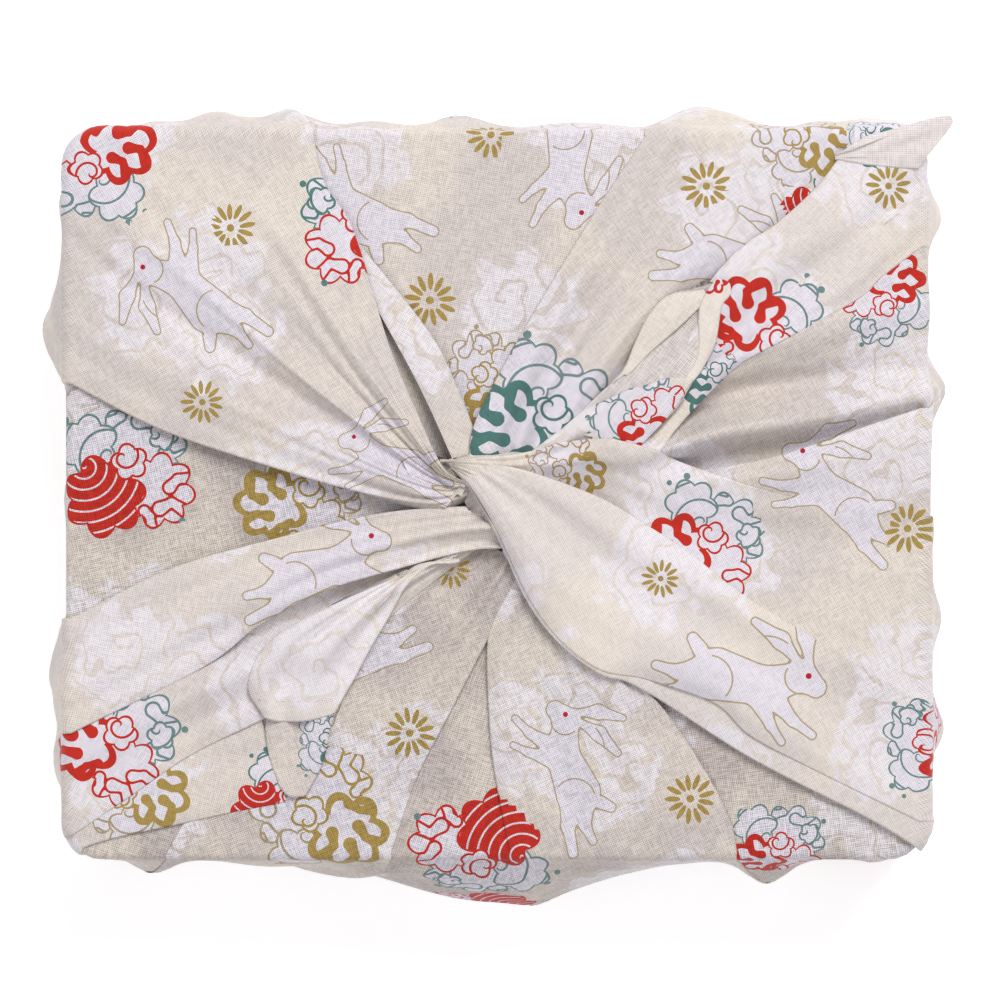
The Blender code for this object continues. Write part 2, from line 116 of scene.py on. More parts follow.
LAMPS = {
    "key": {"place": (0.6, 1.3, 2.0), "size": 1.1, "watts": 43.0},
    "fill": {"place": (-0.9, -0.8, 2.4), "size": 2.0, "watts": 18.0},
}
for name, lamp in LAMPS.items():
    light = bpy.data.lights.new(name, "AREA")
    light.size = lamp["size"]
    light.energy = lamp["watts"]
    holder = bpy.data.objects.new(name, light)
    holder.location = lamp["place"]
    holder.rotation_euler = (-Vector(lamp["place"])).to_track_quat("-Z", "Y").to_euler()
    bpy.context.scene.collection.objects.link(holder)

world = bpy.data.worlds.new("surround")
world.use_nodes = True
world.node_tree.nodes["Background"].inputs["Color"].default_value = linear("#FBFAFF")
world.node_tree.nodes["Background"].inputs["Strength"].default_value = 0.46
bpy.context.scene.world = world
bpy.context.scene.view_settings.view_transform = "Standard"

FLOOR_SIDE = 6.0
floor_mesh = bpy.data.meshes.new("floor")
half_side = FLOOR_SIDE / 2
floor_mesh.from_pydata(
    [(x * half_side, y * half_side, 0) for x, y in ((-1, -1), (1, -1), (1, 1), (-1, 1))],
    [],
    [(0, 1, 2, 3)],
)
paper = bpy.data.materials.new("matt_white_paper")
paper.use_nodes = True
paper.node_tree.nodes["Principled BSDF"].inputs["Base Color"].default_value = linear("#FDFDFD")
paper.node_tree.nodes["Principled BSDF"].inputs["Roughness"].default_value = 1.0
paper.node_tree.nodes["Principled BSDF"].inputs["Emission Color"].default_value = linear("#FFFFFF")
paper.node_tree.nodes["Principled BSDF"].inputs["Emission Strength"].default_value = 0.36
floor_mesh.materials.append(paper)
floor = bpy.data.objects.new("floor", floor_mesh)
bpy.context.scene.collection.objects.link(floor)
print("lens of", round(lens.lens), "mm")

# %% [markdown]
# The folds are the object. Each fold line runs outwards from the twist, through a few points in
# millimetres to the east (x) and north (y), and a smooth curve joins them. A leaf of cloth lies
# between two fold lines. Its lift above the bundle's flat top is given at the twist, halfway and at
# its outer end, for its left and right side. The numbers are the ones that the CAD source uses.

# %% The wrap's size and its fold lines
WRAP_LENGTH = 214.8
WRAP_DEPTH = 182.5
WRAP_HEIGHT = 60.0
WRAP_CENTRE = (-0.9, 2.9)
CORNER_RADIUS = 9.0
RIM_RADIUS = 1.8
BASE_INSET = 1.5
SWELL_FADE = 0.2
FOLD_FADE = 0.3
TWIST = (-6.0, 6.0)
GROUND_RISE = 1.6
GROUND_REACH = 34.0

FOLD_LINES = {
    "flap_low": [(-6, 4.2), (-17, 1.4), (-36, 4.6), (-59, 11), (-84.5, 19.6), (-108, 31.6)],
    "flap_edge": [(-8, 6), (-13.6, 9.4), (-19.8, 21.6), (-28, 40.6), (-36.8, 69), (-44, 81), (-47, 94)],
    "sliver_inner": [(-9, 6), (-22, 34), (-42, 68), (-62, 94)],
    "sliver_edge": [(-6, 8), (-6, 17), (-11.3, 31), (-17.8, 43.4), (-34.5, 64.6), (-45, 78), (-54, 94)],
    "north_edge": [(-7, 6), (-6.5, 19), (1.3, 35), (12.3, 54), (25.8, 76), (37.8, 94)],
    "north_inner": [(20, 8), (48, 44), (76, 66), (100, 94)],
    "gap_edge": [(22, 12), (38, 36), (54.5, 58), (62.8, 66), (69.8, 70.6), (80.8, 81), (90, 94)],
    "band_edge": [(38, 11), (43.8, 19), (53.5, 29.4), (62.8, 37.4), (88.8, 51.6), (95.3, 57.4), (106.5, 66)],
    "east_inner": [(24, 10), (56, 42), (84, 62), (106.5, 78)],
    "cross_top": [(-14.5, 10.9), (-5, 12), (3.8, 12.4), (22, 16.4), (34, 15), (50.3, 9), (68, 3.4), (106.5, -3)],
    "cross_fold": [(-6, 11.5), (9.8, 7.6), (25, 2), (37, -5), (46.3, -11), (60.5, -22), (80, -34), (106.5, -50)],
    "cross_low": [(-14.5, 10.9), (-8.5, 6), (-3, -2.6), (1.3, -11), (6.8, -23), (14.5, -33.4), (25, -41.4),
                  (35.3, -45), (62.8, -62.4), (92.5, -77.6), (106.5, -86)],
    "cross_front": [(-13.5, 10.9), (-7.9, 6.2), (-2.5, -2.2), (2, -11), (7.5, -22.6), (15, -32.8), (25.4, -40.4),
                    (37, -43), (54, -49), (62.8, -57), (79, -65.6), (106.5, -79)],
    "south_right": [(25, -38), (35.3, -45), (46.5, -58.6), (57, -77), (59.5, -88.4)],
    "south_left": [(6, -14), (3.5, -20), (-1, -28.4), (-2.8, -36), (-2, -56), (-0.3, -69.4), (3.5, -88.4)],
    "recess_left": [(6, -14), (3, -21), (-6.8, -40), (-13.3, -52.6), (-21, -68), (-28, -88.4)],
    "lower_inner": [(-10, -6), (-40, -30), (-66, -58), (-84, -88.4)],
    "strip_top": [(-1, 0), (-17.5, -0.9), (-32.8, -3), (-55.3, -8.4), (-82.3, -16), (-108.3, -29)],
    "strip_low": [(3, -9.5), (-8.5, -10.4), (-26.5, -15.4), (-44.8, -21.4), (-60.5, -30), (-74, -40), (-108.3, -57)],
    "band_west": [(0, -3), (-40, -12), (-76, -24), (-108.3, -40)],
    "band_low": [(-6, -11), (-28, -28), (-44, -45), (-58.5, -52.6), (-77.3, -62), (-92, -72), (-108.3, -83)],
    "corner_inner": [(-60.5, -50), (-76, -54), (-92, -60), (-108.3, -68)],
    "corner_low": [(-53.5, -73.6), (-66, -76), (-79, -78.9), (-97, -82.7), (-107, -86)],
    "pleat": [(26, 10.5), (45, 8.5), (63.5, 11.1), (75.3, 14.1), (87.8, 18.4), (106.5, 24.6)],
    "sw_west": [(-14, -13), (-41.5, -24.6), (-57, -33.5), (-62.5, -44.5), (-58.6, -52.5)],
    "sw_south": [(-10, -13), (-20.5, -16), (-29.8, -30.4), (-36, -42), (-41.5, -51.5)],
    "sw_end_west": [(-52, -44), (-57.4, -52), (-57.6, -60), (-54.8, -69.4)],
    "sw_end_south": [(-38, -44), (-41.8, -53), (-44.3, -63.9), (-48.6, -72)],
    "ne_north": [(16, 19), (25.8, 28.1), (31.2, 33.6), (34.4, 41.2), (37.5, 47.4), (42.3, 52.4), (50, 54.6)],
    "ne_east": [(33, 15), (42.7, 23.4), (47.8, 31.1), (53.2, 39.4), (54.2, 43.9), (54.8, 49.9), (57, 53)],
    "ne_hem_outer": [(28, 30.6), (31.2, 33.6), (34.4, 41.2), (37.5, 47.4), (42.3, 52.4), (51.3, 53.8)],
    "ne_hem_inner": [(31.4, 33), (37.8, 39.1), (43.4, 43.8), (47.8, 47.9), (51.6, 51.6)],
    "ne_roll_inner": [(46.4, 31.4), (49.4, 36.1), (50.2, 40.9), (50, 45.7), (50.7, 50.9), (54.6, 57)],
    "ne_roll_outer": [(47.8, 31.1), (50.3, 33.9), (53.2, 39.4), (54.4, 43.9), (55, 49.9), (57.8, 53.4)],
    "ne_low_north": [(6, 12), (15.3, 18.9), (20.7, 23.4), (26, 26.2)],
    "ne_low_east": [(31, 14), (34.4, 14.8), (42.7, 23.4), (48, 31.6)],
    "turn_top": [(84, 87.6), (92, 92.5), (101.3, 98.8), (107.8, 99)],
    "turn_low": [(84, 87.2), (92, 85.8), (100, 84.8), (106.8, 84.6)],
}

# Where each fold line that passes over the rim comes down at the base.
BASE_ENDS = {
    "flap_low": (-108, 58), "flap_edge": (-72, 94), "sliver_inner": (-84, 94), "sliver_edge": (-78, 94),
    "north_edge": (62, 94), "north_inner": (99, 94), "gap_edge": (97, 94), "band_edge": (106.5, 84),
    "east_inner": (106.5, 88), "cross_top": (106.5, -2), "cross_fold": (106.5, -66), "cross_low": (106.5, -84),
    "cross_front": (106.5, -82), "south_right": (78, -88), "south_left": (14, -88), "recess_left": (-44, -88),
    "lower_inner": (-96, -88), "strip_top": (-108, -54), "strip_low": (-108, -76), "band_west": (-108, -62),
    "pleat": (106.5, 46), "band_low": (-108, -82), "corner_inner": (-108, -78), "corner_low": (-100, -88),
}
print(len(FOLD_LINES), "fold lines")

# %% [markdown]
# The leaves are listed from the bottom up. The backing value says how much cloth lies under a leaf: a single
# thin layer over the bundle looks greyer than three or four layers do. It also holds painted shade:
# a leaf that lies over a hollow, such as ne_pocket, gets a lower value so that it is painted darker.
# "lips" names the sides that show as a fold. The print of each leaf is turned and moved, because a
# fold hides part of the pattern: "turn" is in degrees, and "slip" in millimetres.

# %% The leaves
LEAF_COLUMNS = ("name", "left", "right", "left_lift", "right_lift", "crown", "lips", "backed_and_shaded", "turn", "slip")
# Some backing values are painted shade: ne_pocket's low value darkens it where it lies over a hollow.
LEAVES = [
    ("lower", "lower_inner", "recess_left", (3, 0.8, 0.4), (4.5, 2.0, 0.4), 1.0, "r", 0.12, -20, (14, 60)),
    ("south", "south_left", "south_right", (5, 2.4, 1.0), (4, 2.2, 1.2), 1.4, "lr", 0.3, -24, (-26, 61)),
    ("sliver", "sliver_inner", "sliver_edge", (6, 2.5, 0.5), (6.5, 3.0, 0.6), 0.4, "r", 0.6, 30, (9, 20)),
    ("north", "north_edge", "north_inner", (7, 3.0, 1.0), (6, 2.0, 0.8), 1.6, "l", 0.6, -38, (-66, 12)),
    ("east", "east_inner", "cross_low", (6, 3.8, 2.4), (4, 1.0, 0.6), 1.2, "", 0.5, 62, (5, 50)),
    ("east_low", "pleat", "cross_low", (6, 6.6, 5.0), (4, 1.0, 0.6), 0.8, "l", 0.5, 62, (5, 50)),
    ("band", "gap_edge", "band_edge", (8, 4.2, 2.0), (8, 4.2, 2.0), 1.2, "lr", 0.8, 45, (30, 10)),
    ("corner", "corner_inner", "corner_low", (1.0, 1.3, 1.2), (1.4, 1.6, 1.4), 0.3, "rh", 0.6, 15, (40, 70)),
    ("west", "band_west", "band_low", (6, 3.0, 1.4), (5, 3.4, 2.4), 1.0, "r", 0.65, 30, (66, 30)),
    ("strip", "strip_top", "strip_low", (9, 5.0, 2.2), (8, 5.0, 2.6), 1.0, "lr", 0.7, 12, (40, 5)),
    ("flap", "flap_low", "flap_edge", (9, 5.0, 2.0), (10, 5.2, 2.0), 1.2, "lr", 0.6, -28, (77, -51)),
    ("sw_end", "sw_end_west", "sw_end_south", (3.4, 3.6, 2.8), (3.6, 3.8, 2.8), 0.6, "lre", 0.45, 70, (20, 20)),
    ("sw_tail", "sw_west", "sw_south", (7, 5.2, 3.8), (8, 6.0, 4.0), 0.8, "lre", 0.9, 70, (20, 20)),
    ("ne_pocket", "ne_north", "ne_east", (6, 5.4, 5.6), (6, 5.4, 5.6), -1.6, "lr", 0.25, -50, (10, 44)),
    ("ne_hem", "ne_hem_outer", "ne_hem_inner", (6.6, 7.2, 6.8), (6.8, 7.6, 7.2), 0.3, "lr", 0.8, -50, (10, 44)),
    ("ne_roll", "ne_roll_inner", "ne_roll_outer", (7.2, 7.8, 7.4), (6.8, 7.2, 6.8), 0.4, "lr", 0.9, -50, (10, 44)),
    ("ne_low", "ne_low_north", "ne_low_east", (8.4, 8.4, 8.2), (8.2, 8.2, 8.0), 0.6, "lre", 0.7, -50, (10, 44)),
    ("cross", "cross_top", "cross_low", (12.5, 3.4, 1.4), (10.5, 3.4, 1.6), 1.0, "lr", 0.8, 62, (5, 50)),
    ("front", "cross_fold", "cross_front", (14, 4.4, 1.8), (13, 5.4, 3.0), 1.2, "lr", 0.9, 62, (5, 50)),
    ("turned", "turn_top", "turn_low", (2.6, 3.6, 3.4), (2.6, 3.2, 3.0), 0.8, "lr", 0.8, 0, (22, 22)),
]
# The leaves that stop on the top instead of going down the wall, with the middle of their end.
FREE_ENDS = {
    "sw_end": [(-52.2, -72.2)],
    "sw_tail": [(-54, -53.4), (-47, -53)],
    "ne_pocket": [(55, 56)],
    "ne_hem": [(52, 53)],
    "ne_roll": [(57.4, 55.8)],
    "ne_low": [(33.1, 29), (41.7, 31.4)],
    "turned": [(113.2, 97.4)],
}
# The leaves that show the cloth's reverse.
REVERSED = ("ne_pocket", "turned")
# The leaves whose left fold fades out, and the share of its length at which it starts to.
FADING = {"cross": 0.58, "front": 0.66}
FADE_LENGTH = 0.16
FADED_LIP = 0.9
FADED_BACKING_AND_SHADE = 0.5
# How deep the start of a leaf dives behind the fold that it comes out of.
DIVES = {"cross": 7.0, "front": 7.0}
DIVE_REACH = 0.035

CREASE_COLUMNS = ("leaf", "place_in", "place_out", "half_width", "heights")
CREASES = [
    ("flap", 0.38, 0.30, 3.4, (-1.6, -1.8, -0.3)),
    ("flap", 0.20, 0.12, 3.0, (1.2, 0.9, 0.2)),
    ("flap", 0.62, 0.52, 6.0, (-1.2, -1.2, -0.2)),
    ("north", 0.34, 0.30, 4.5, (-2.0, -1.6, -0.4)),
    ("north", 0.58, 0.62, 5.0, (1.4, 1.4, 0.8)),
    ("north", 0.78, 0.84, 4.0, (-1.4, -1.8, -1.2)),
    ("band", 0.30, 0.34, 4.5, (1.6, 1.4, 0.6)),
    ("band", 0.66, 0.62, 4.6, (-1.4, -2.4, -1.8)),
    ("band", 0.84, 0.84, 3.6, (0.8, 1.2, 0.8)),
    ("north", 0.12, 0.10, 4.0, (1.2, 1.4, 0.8)),
    ("east", 0.05, 0.17, 6.0, (1.6, 3.2, 1.2)),
    ("east", 0.15, 0.265, 3.6, (-3.4, -4.4, -1.2)),
    ("east", 0.32, 0.305, 4.0, (3.4, 5.0, 1.8)),
    ("east", 0.46, 0.335, 3.8, (-4.4, -5.4, -3.4)),
    ("east", 0.60, 0.50, 9.0, (-3.0, -3.4, -2.0)),
    ("east_low", 0.10, 0.06, 5.0, (0.8, 1.2, 0.6)),
    ("east_low", 0.36, 0.30, 6.0, (-0.8, -1.0, -0.4)),
    ("cross", 0.30, 0.34, 5.0, (-1.0, -0.8, 0.0)),
    ("front", 0.42, 0.40, 6.0, (-1.6, -1.0, 0.0)),
    ("front", 0.70, 0.66, 7.0, (1.0, 0.9, 0.3)),
    ("south", 0.30, 0.32, 6.0, (-1.4, -0.9, -0.6)),
    ("south", 0.72, 0.70, 6.0, (1.0, 0.8, 0.4)),
    ("lower", 0.55, 0.50, 6.0, (-1.2, -0.6, -0.2)),
    ("lower", 0.80, 0.80, 4.0, (1.0, 0.8, 0.3)),
    ("west", 0.20, 0.16, 3.6, (1.4, 1.8, 0.8)),
    ("west", 0.42, 0.36, 3.6, (-2.2, -2.2, -0.8)),
    ("west", 0.66, 0.60, 4.0, (1.8, 1.6, 0.4)),
    ("west", 0.86, 0.80, 3.0, (-1.2, -1.0, -0.2)),
    ("strip", 0.50, 0.56, 4.0, (1.2, 0.8, 0.2)),
    ("flap", 0.84, 0.76, 2.6, (1.4, 1.2, 0.2)),
    ("flap", 0.50, 0.42, 2.6, (1.0, 0.9, 0.2)),
    ("cross", 0.62, 0.58, 5.0, (1.2, 0.8, 0.2)),
    ("front", 0.18, 0.20, 5.0, (1.0, 1.0, 0.3)),
    ("strip", 0.22, 0.26, 2.6, (-1.4, -1.2, -0.4)),
    ("strip", 0.76, 0.80, 2.4, (-1.2, -1.2, -0.4)),
    ("sw_tail", 0.36, 0.30, 2.8, (-1.6, -3.0, -1.2)),
    ("sw_tail", 0.16, 0.12, 2.6, (1.0, 2.0, 0.8)),
    ("sw_tail", 0.62, 0.58, 3.0, (0.8, 1.8, 0.6)),
    ("sw_tail", 0.82, 0.80, 2.6, (-0.8, -1.6, -0.6)),
    ("sw_end", 0.50, 0.50, 3.0, (-0.6, -1.2, -0.6)),
    ("ne_pocket", 0.55, 0.50, 4.0, (-0.8, -1.4, -0.6)),
    ("ne_low", 0.35, 0.40, 2.6, (-1.6, -1.6, -0.8)),
    ("ne_low", 0.68, 0.66, 2.6, (1.2, 1.4, 0.8)),
]

SWELL_COLUMNS = ("east", "north", "half_length", "out", "middle", "half_height")
SWELLS = [
    (-108, 47, 15, 4.6, 0.55, 0.42),
    (-108, -46.5, 12, 3.6, 0.55, 0.40),
    (-108, -66, 14, 1.8, 0.50, 0.40),
    (106, 74, 10, 2.4, 0.60, 0.40),
    (106, 28.5, 8, 3.0, 0.60, 0.40),
    (106, -28, 9, 3.6, 0.60, 0.40),
    (106, -57, 12, 2.0, 0.55, 0.40),
    (-71, 94, 12, 5.0, 0.55, 0.40),
    (-50, 94, 9, 4.6, 0.55, 0.40),
    (-32, 94, 14, 3.6, 0.55, 0.40),
    (-12, 94, 11, 3.6, 0.55, 0.40),
    (20, 94, 24, 3.4, 0.50, 0.40),
    (54.8, 94, 14, 5.6, 0.60, 0.42),
    (82, 94, 12, 3.2, 0.50, 0.40),
    (101, 94, 10, 3.2, 0.50, 0.40),
    (-88, -88, 10, 2.6, 0.50, 0.40),
    (-60, -88, 16, 2.4, 0.50, 0.40),
    (-1, -88, 44, 12.6, 0.45, 0.46),
    (69, -88, 10, 5.2, 0.55, 0.40),
]

WALL_FOLD_COLUMNS = ("rim", "base", "half_width", "height")
WALL_FOLDS = [
    ((-47, 94), (-72, 94), 5.0, 2.2),
    ((-82, 94), (-99, 94), 4.5, 1.8),
    ((2, 94), (-22, 94), 6.0, 1.6),
    ((38, 94), (62, 94), 5.0, 2.2),
    ((88, 94), (98, 94), 4.5, 1.8),
    ((-80, -88), (-98, -88), 4.5, 2.0),
    ((-28, -88), (-58, -88), 5.0, 2.2),
    ((4, -88), (14, -88), 6.0, 1.6),
    ((59, -88), (78, -88), 5.0, 2.2),
    ((92, -88), (99, -88), 4.5, 1.6),
    ((-108, 72), (-108, 86), 4.5, 1.6),
    ((-108, 31.6), (-108, 58), 5.0, 2.2),
    ((-108, -2), (-108, 12), 6.0, 1.4),
    ((-108, -29), (-108, -54), 5.0, 2.2),
    ((-108, -57), (-108, -76), 4.5, 1.8),
    ((106.5, 66), (106.5, 84), 4.5, 2.0),
    ((106.5, 24), (106.5, 46), 5.0, 2.2),
    ((106.5, -8), (106.5, -2), 6.0, 1.4),
    ((106.5, -50), (106.5, -66), 5.0, 2.2),
    ((106.5, -79), (106.5, -83), 4.5, 1.6),
]
print(len(LEAVES), "leaves,", len(CREASES), "soft folds on them and", len(WALL_FOLDS), "down the walls")


# %% [markdown]
# Small functions turn the tables into curves. The wrap's outline is an oblong with round corners,
# measured along its edge, so that a place on the rim or the wall is one number.


# %% Curves and the outline
def as_rows(columns, table):
    """A table as one dictionary for each row, by the names of its columns."""
    return [dict(zip(columns, row)) for row in table]


def eased(values, share):
    """A value that runs smoothly through three values, at 0, 0.5 and 1."""
    share = np.clip(share, 0.0, 1.0)
    half = np.minimum(np.floor(share * 2.0), 1.0).astype(int)
    part = share * 2.0 - half
    part = part * part * (3.0 - 2.0 * part)
    stations = np.array(values, dtype=float)
    return stations[half] * (1.0 - part) + stations[half + 1] * part


def resampled(points, count):
    """Evenly spaced points along a line of points."""
    along = np.concatenate([[0.0], np.cumsum(np.linalg.norm(np.diff(points, axis=0), axis=1))])
    wanted = np.linspace(0.0, along[-1], count)
    return np.column_stack([np.interp(wanted, along, points[:, k]) for k in (0, 1)])


def smooth_step(share):
    """A share from 0 to 1, eased at both ends."""
    share = np.clip(share, 0.0, 1.0)
    return share * share * (3.0 - 2.0 * share)


def smooth_curve(points):
    """Many points along a smooth curve through a few given ones."""
    knots = np.array(points, dtype=float)
    ends = np.vstack([2 * knots[0] - knots[1], knots, 2 * knots[-1] - knots[-2]])
    fine = []
    part = np.linspace(0.0, 1.0, 24, endpoint=False)[:, None]
    for before, start, end, after in zip(ends, ends[1:], ends[2:], ends[3:]):
        bend = 2 * before - 5 * start + 4 * end - after
        turn = 3 * start - before - 3 * end + after
        fine.append(0.5 * (2 * start + (end - before) * part + bend * part**2 + turn * part**3))
    return np.vstack([*fine, knots[-1:]])


def outline_samples(inset, pitch=0.5):
    """Points and outward directions around the wrap's outline, anticlockwise from its east side."""
    half = (WRAP_LENGTH / 2 - CORNER_RADIUS, WRAP_DEPTH / 2 - CORNER_RADIUS)
    points = []
    outward = []
    for quarter, (sx, sy) in enumerate([(1, 1), (-1, 1), (-1, -1), (1, -1)]):
        corner = np.array([WRAP_CENTRE[0] + sx * half[0], WRAP_CENTRE[1] + sy * half[1]])
        turns = round(math.pi / 2 * CORNER_RADIUS / pitch)
        for k in range(turns + 1):
            angle = math.pi / 2 * (quarter + k / turns)
            way = np.array([math.cos(angle), math.sin(angle)])
            points.append(corner + (CORNER_RADIUS - inset) * way)
            outward.append(way)
        straight = 2 * half[0] if quarter % 2 == 0 else 2 * half[1]
        side = np.array([-math.sin(angle), math.cos(angle)])
        steps = round(straight / pitch)
        for k in range(1, steps):
            points.append(corner + (CORNER_RADIUS - inset) * way + side * straight * k / steps)
            outward.append(way)
    return np.array(points), np.array(outward)


RIM_POINTS, RIM_OUTWARD = outline_samples(0.0)
FILLET_POINTS, _ = outline_samples(RIM_RADIUS)
RIM_STEPS = np.linalg.norm(np.roll(RIM_POINTS, -1, axis=0) - RIM_POINTS, axis=1)
RIM_ALONG = np.concatenate([[0.0], np.cumsum(RIM_STEPS)])
RIM_TOTAL = RIM_ALONG[-1]


def along_rim(point):
    """How far along the rim a place near it lies."""
    return RIM_ALONG[int(np.argmin(np.linalg.norm(RIM_POINTS - np.array(point), axis=1)))]


def rim_values(values, distance):
    """A table's values, one for each rim sample, at a distance along the rim."""
    closed = np.vstack([values, values[:1]])
    wrapped = np.mod(distance, RIM_TOTAL)
    return np.stack([np.interp(wrapped, RIM_ALONG, closed[:, k]) for k in (0, 1)], axis=-1)


def shorter_way(start, end):
    """The signed distance from one place on the rim to another, the shorter way round."""
    return (end - start + RIM_TOTAL / 2) % RIM_TOTAL - RIM_TOTAL / 2


def inside_rim(points):
    """Whether each point lies inside the line where the rim begins to round over."""
    half = np.array([WRAP_LENGTH, WRAP_DEPTH]) / 2 - RIM_RADIUS
    radius = CORNER_RADIUS - RIM_RADIUS
    beyond = np.maximum(np.abs(points - WRAP_CENTRE) - (half - radius), 0.0)
    within = np.all(np.abs(points - WRAP_CENTRE) < half, axis=1)
    return within & (np.linalg.norm(beyond, axis=1) < radius)


def trimmed(name):
    """A fold line as far as the rounding of the rim."""
    fine = smooth_curve(FOLD_LINES[name])
    outside = np.flatnonzero(~inside_rim(fine))
    return fine if len(outside) == 0 else fine[: outside[0] + 1]


print("the rim is", round(RIM_TOTAL), "mm round")

# %% [markdown]
# A leaf is a patch between two fold lines. Its grid runs from the twist outwards in rows, and from
# its left fold to its right one in columns. A Coons patch fits the rows and columns to all four
# edges at once. At the rim the rows go on, round the edge and down the wall to the base.

# %% A leaf on top of the bundle
ROW_PITCH = 1.5
COLUMN_PITCH = 1.7
WALL_PITCH = 2.6
ROLL_DEPTH = 0.55
ROLL_WIDTH = 1.7
WAVER = 0.24
CREASE_DEPTH = 1.45
CREASE_WIDTH = 0.82
HEM_WIDTH = 3.2
HEM_STEP = 0.3


def ground_lift(x, y):
    """The lowest cloth on top rises a little towards the twist."""
    away = np.hypot(x - TWIST[0], y - TWIST[1])
    return GROUND_RISE * np.exp(-((away / GROUND_REACH) ** 2))


def waver(leaf, u, v, across):
    """Faint pull lines that run out from the twist, different on each leaf."""
    chance = np.random.default_rng(sum(map(ord, leaf["name"])))
    lift = np.zeros_like(u * v)
    for width in (3.0, 4.5, 7.0):
        phase = chance.uniform(0, 2 * math.pi)
        drift = chance.uniform(-1.2, 1.2)
        lift += np.sin(2 * math.pi * v * across.max() / width / 2 + drift * 6 * u + phase) * width / 5
    return WAVER * lift * (0.35 + np.exp(-((u / 0.45) ** 2))) * np.clip(across / 12.0, 0.0, 1.0)


def leaf_top(leaf):
    """The leaf's grid on top, in millimetres, and for each point its share along and across."""
    left_line, right_line = trimmed(leaf["left"]), trimmed(leaf["right"])
    length = max(np.linalg.norm(np.diff(line, axis=0), axis=1).sum() for line in (left_line, right_line))
    rows = max(8, round(length / ROW_PITCH))
    free = leaf["name"] in FREE_ENDS
    if free:
        end = np.vstack([left_line[-1:], FREE_ENDS[leaf["name"]], right_line[-1:]])
        end = smooth_curve(end)
    else:
        start, stop = along_rim(left_line[-1]), along_rim(right_line[-1])
        steps = np.linspace(0.0, 1.0, 60)[1:-1]
        middle = rim_values(FILLET_POINTS, start + shorter_way(start, stop) * steps)
        end = np.vstack([left_line[-1:], middle, right_line[-1:]])
    columns = max(9, round(np.linalg.norm(np.diff(end, axis=0), axis=1).sum() / COLUMN_PITCH))
    left, right, outer = resampled(left_line, rows), resampled(right_line, rows), resampled(end, columns)
    u = np.linspace(0.0, 1.0, rows)[:, None]
    v = np.linspace(0.0, 1.0, columns)[None, :]
    inner = left[0] * (1 - v[0])[:, None] + right[0] * v[0][:, None]
    u3, v3 = u[:, :, None], v[:, :, None]
    flat = (1 - v3) * left[:, None] + v3 * right[:, None] + (1 - u3) * inner + u3 * outer
    flat -= (1 - u3) * ((1 - v3) * left[0] + v3 * right[0]) + u3 * ((1 - v3) * left[-1] + v3 * right[-1])
    across = np.linalg.norm(np.diff(flat, axis=1), axis=2).sum(axis=1)[:, None]
    lift = (1 - v) * eased(leaf["left_lift"], u) + v * eased(leaf["right_lift"], u)
    lift = lift + leaf["crown"] * np.sin(math.pi * u) * 4 * v * (1 - v)
    for crease in as_rows(CREASE_COLUMNS, CREASES):
        if crease["leaf"] == leaf["name"]:
            place = crease["place_in"] * (1 - u) + crease["place_out"] * u
            away = (v - place) * across / (crease["half_width"] * CREASE_WIDTH)
            lift = lift + CREASE_DEPTH * eased(crease["heights"], u) * np.exp(-(away**2))
    lift = lift + waver(leaf, u, v, across)
    for letter, share in (("l", v), ("r", 1 - v)):
        if letter in leaf["lips"]:
            lift = lift - ROLL_DEPTH * np.exp(-((share * across / ROLL_WIDTH) ** 2))
    if "e" in leaf["lips"]:
        lift = lift + HEM_STEP * smooth_step(HEM_WIDTH + 1.0 - (1 - u) * length)
    lift = lift - DIVES.get(leaf["name"], 0.0) * np.exp(-((u / DIVE_REACH) ** 2))
    return np.dstack([flat, WRAP_HEIGHT + lift]), u + 0 * v, v + 0 * u


print("a leaf's rows are", ROW_PITCH, "mm apart and its columns", COLUMN_PITCH, "mm")

# %% [markdown]
# Cloth can't pass through cloth. Each new leaf is let down on the leaves below it: a ray from above
# finds the cloth under each point, and a point that would be too low is raised. The raised patch is
# then smoothed, so the upper leaf drapes over the edge of the lower one as a soft ridge.

# %% Settling one leaf on the others
CLEARANCE = 0.4
WIDER_CLEARANCE = {"cross": 1.1}
MERGED = 0.12
SETTLE_ROUNDS = 14
RAY_START = 200.0


def cloth_below(tree, points):
    """The height of the uppermost cloth in the tree under each point, or very low where there is none."""
    heights = np.full(len(points), -1e3)
    for k, point in enumerate(points):
        hit = tree.ray_cast(Vector((point[0], point[1], RAY_START)), Vector((0, 0, -1)))[0]
        if hit is not None:
            heights[k] = hit.z
    return heights


def settled(grid, u, v, tree, leaf):
    """The grid raised where the cloth below would come through it."""
    below = cloth_below(tree, grid.reshape(-1, 3)).reshape(u.shape)
    clearance = WIDER_CLEARANCE.get(leaf["name"], CLEARANCE)
    if leaf["name"] in FADING:
        faded = smooth_step((u - FADING[leaf["name"]]) / FADE_LENGTH) * smooth_step((0.6 - v) / 0.6)
        faded = np.where(below > 0, faded, 0.0)
        clearance = clearance - (clearance - MERGED) * faded
        grid[:, :, 2] += (below + clearance - grid[:, :, 2]) * faded
    needed = np.maximum(below + clearance - grid[:, :, 2], 0.0)
    if leaf["name"] in DIVES:
        needed = needed * np.clip((u - DIVE_REACH) / DIVE_REACH, 0.0, 1.0)
    raised = needed.copy()
    for _ in range(SETTLE_ROUNDS):
        padded = np.pad(raised, 1, mode="edge")
        mean = (padded[:-2, 1:-1] + padded[2:, 1:-1] + padded[1:-1, :-2] + padded[1:-1, 2:] + raised) / 5
        raised = np.maximum(needed, mean)
    grid[:, :, 2] += raised
    return grid


# %% [markdown]
# Past the rim the cloth turns down the wall. A point there is known by how far it has gone past the
# rim, so the same number places it in space and in the flat cloth. The swells and soft folds of the
# wall push it out, and they fade away at the rim and at the base.


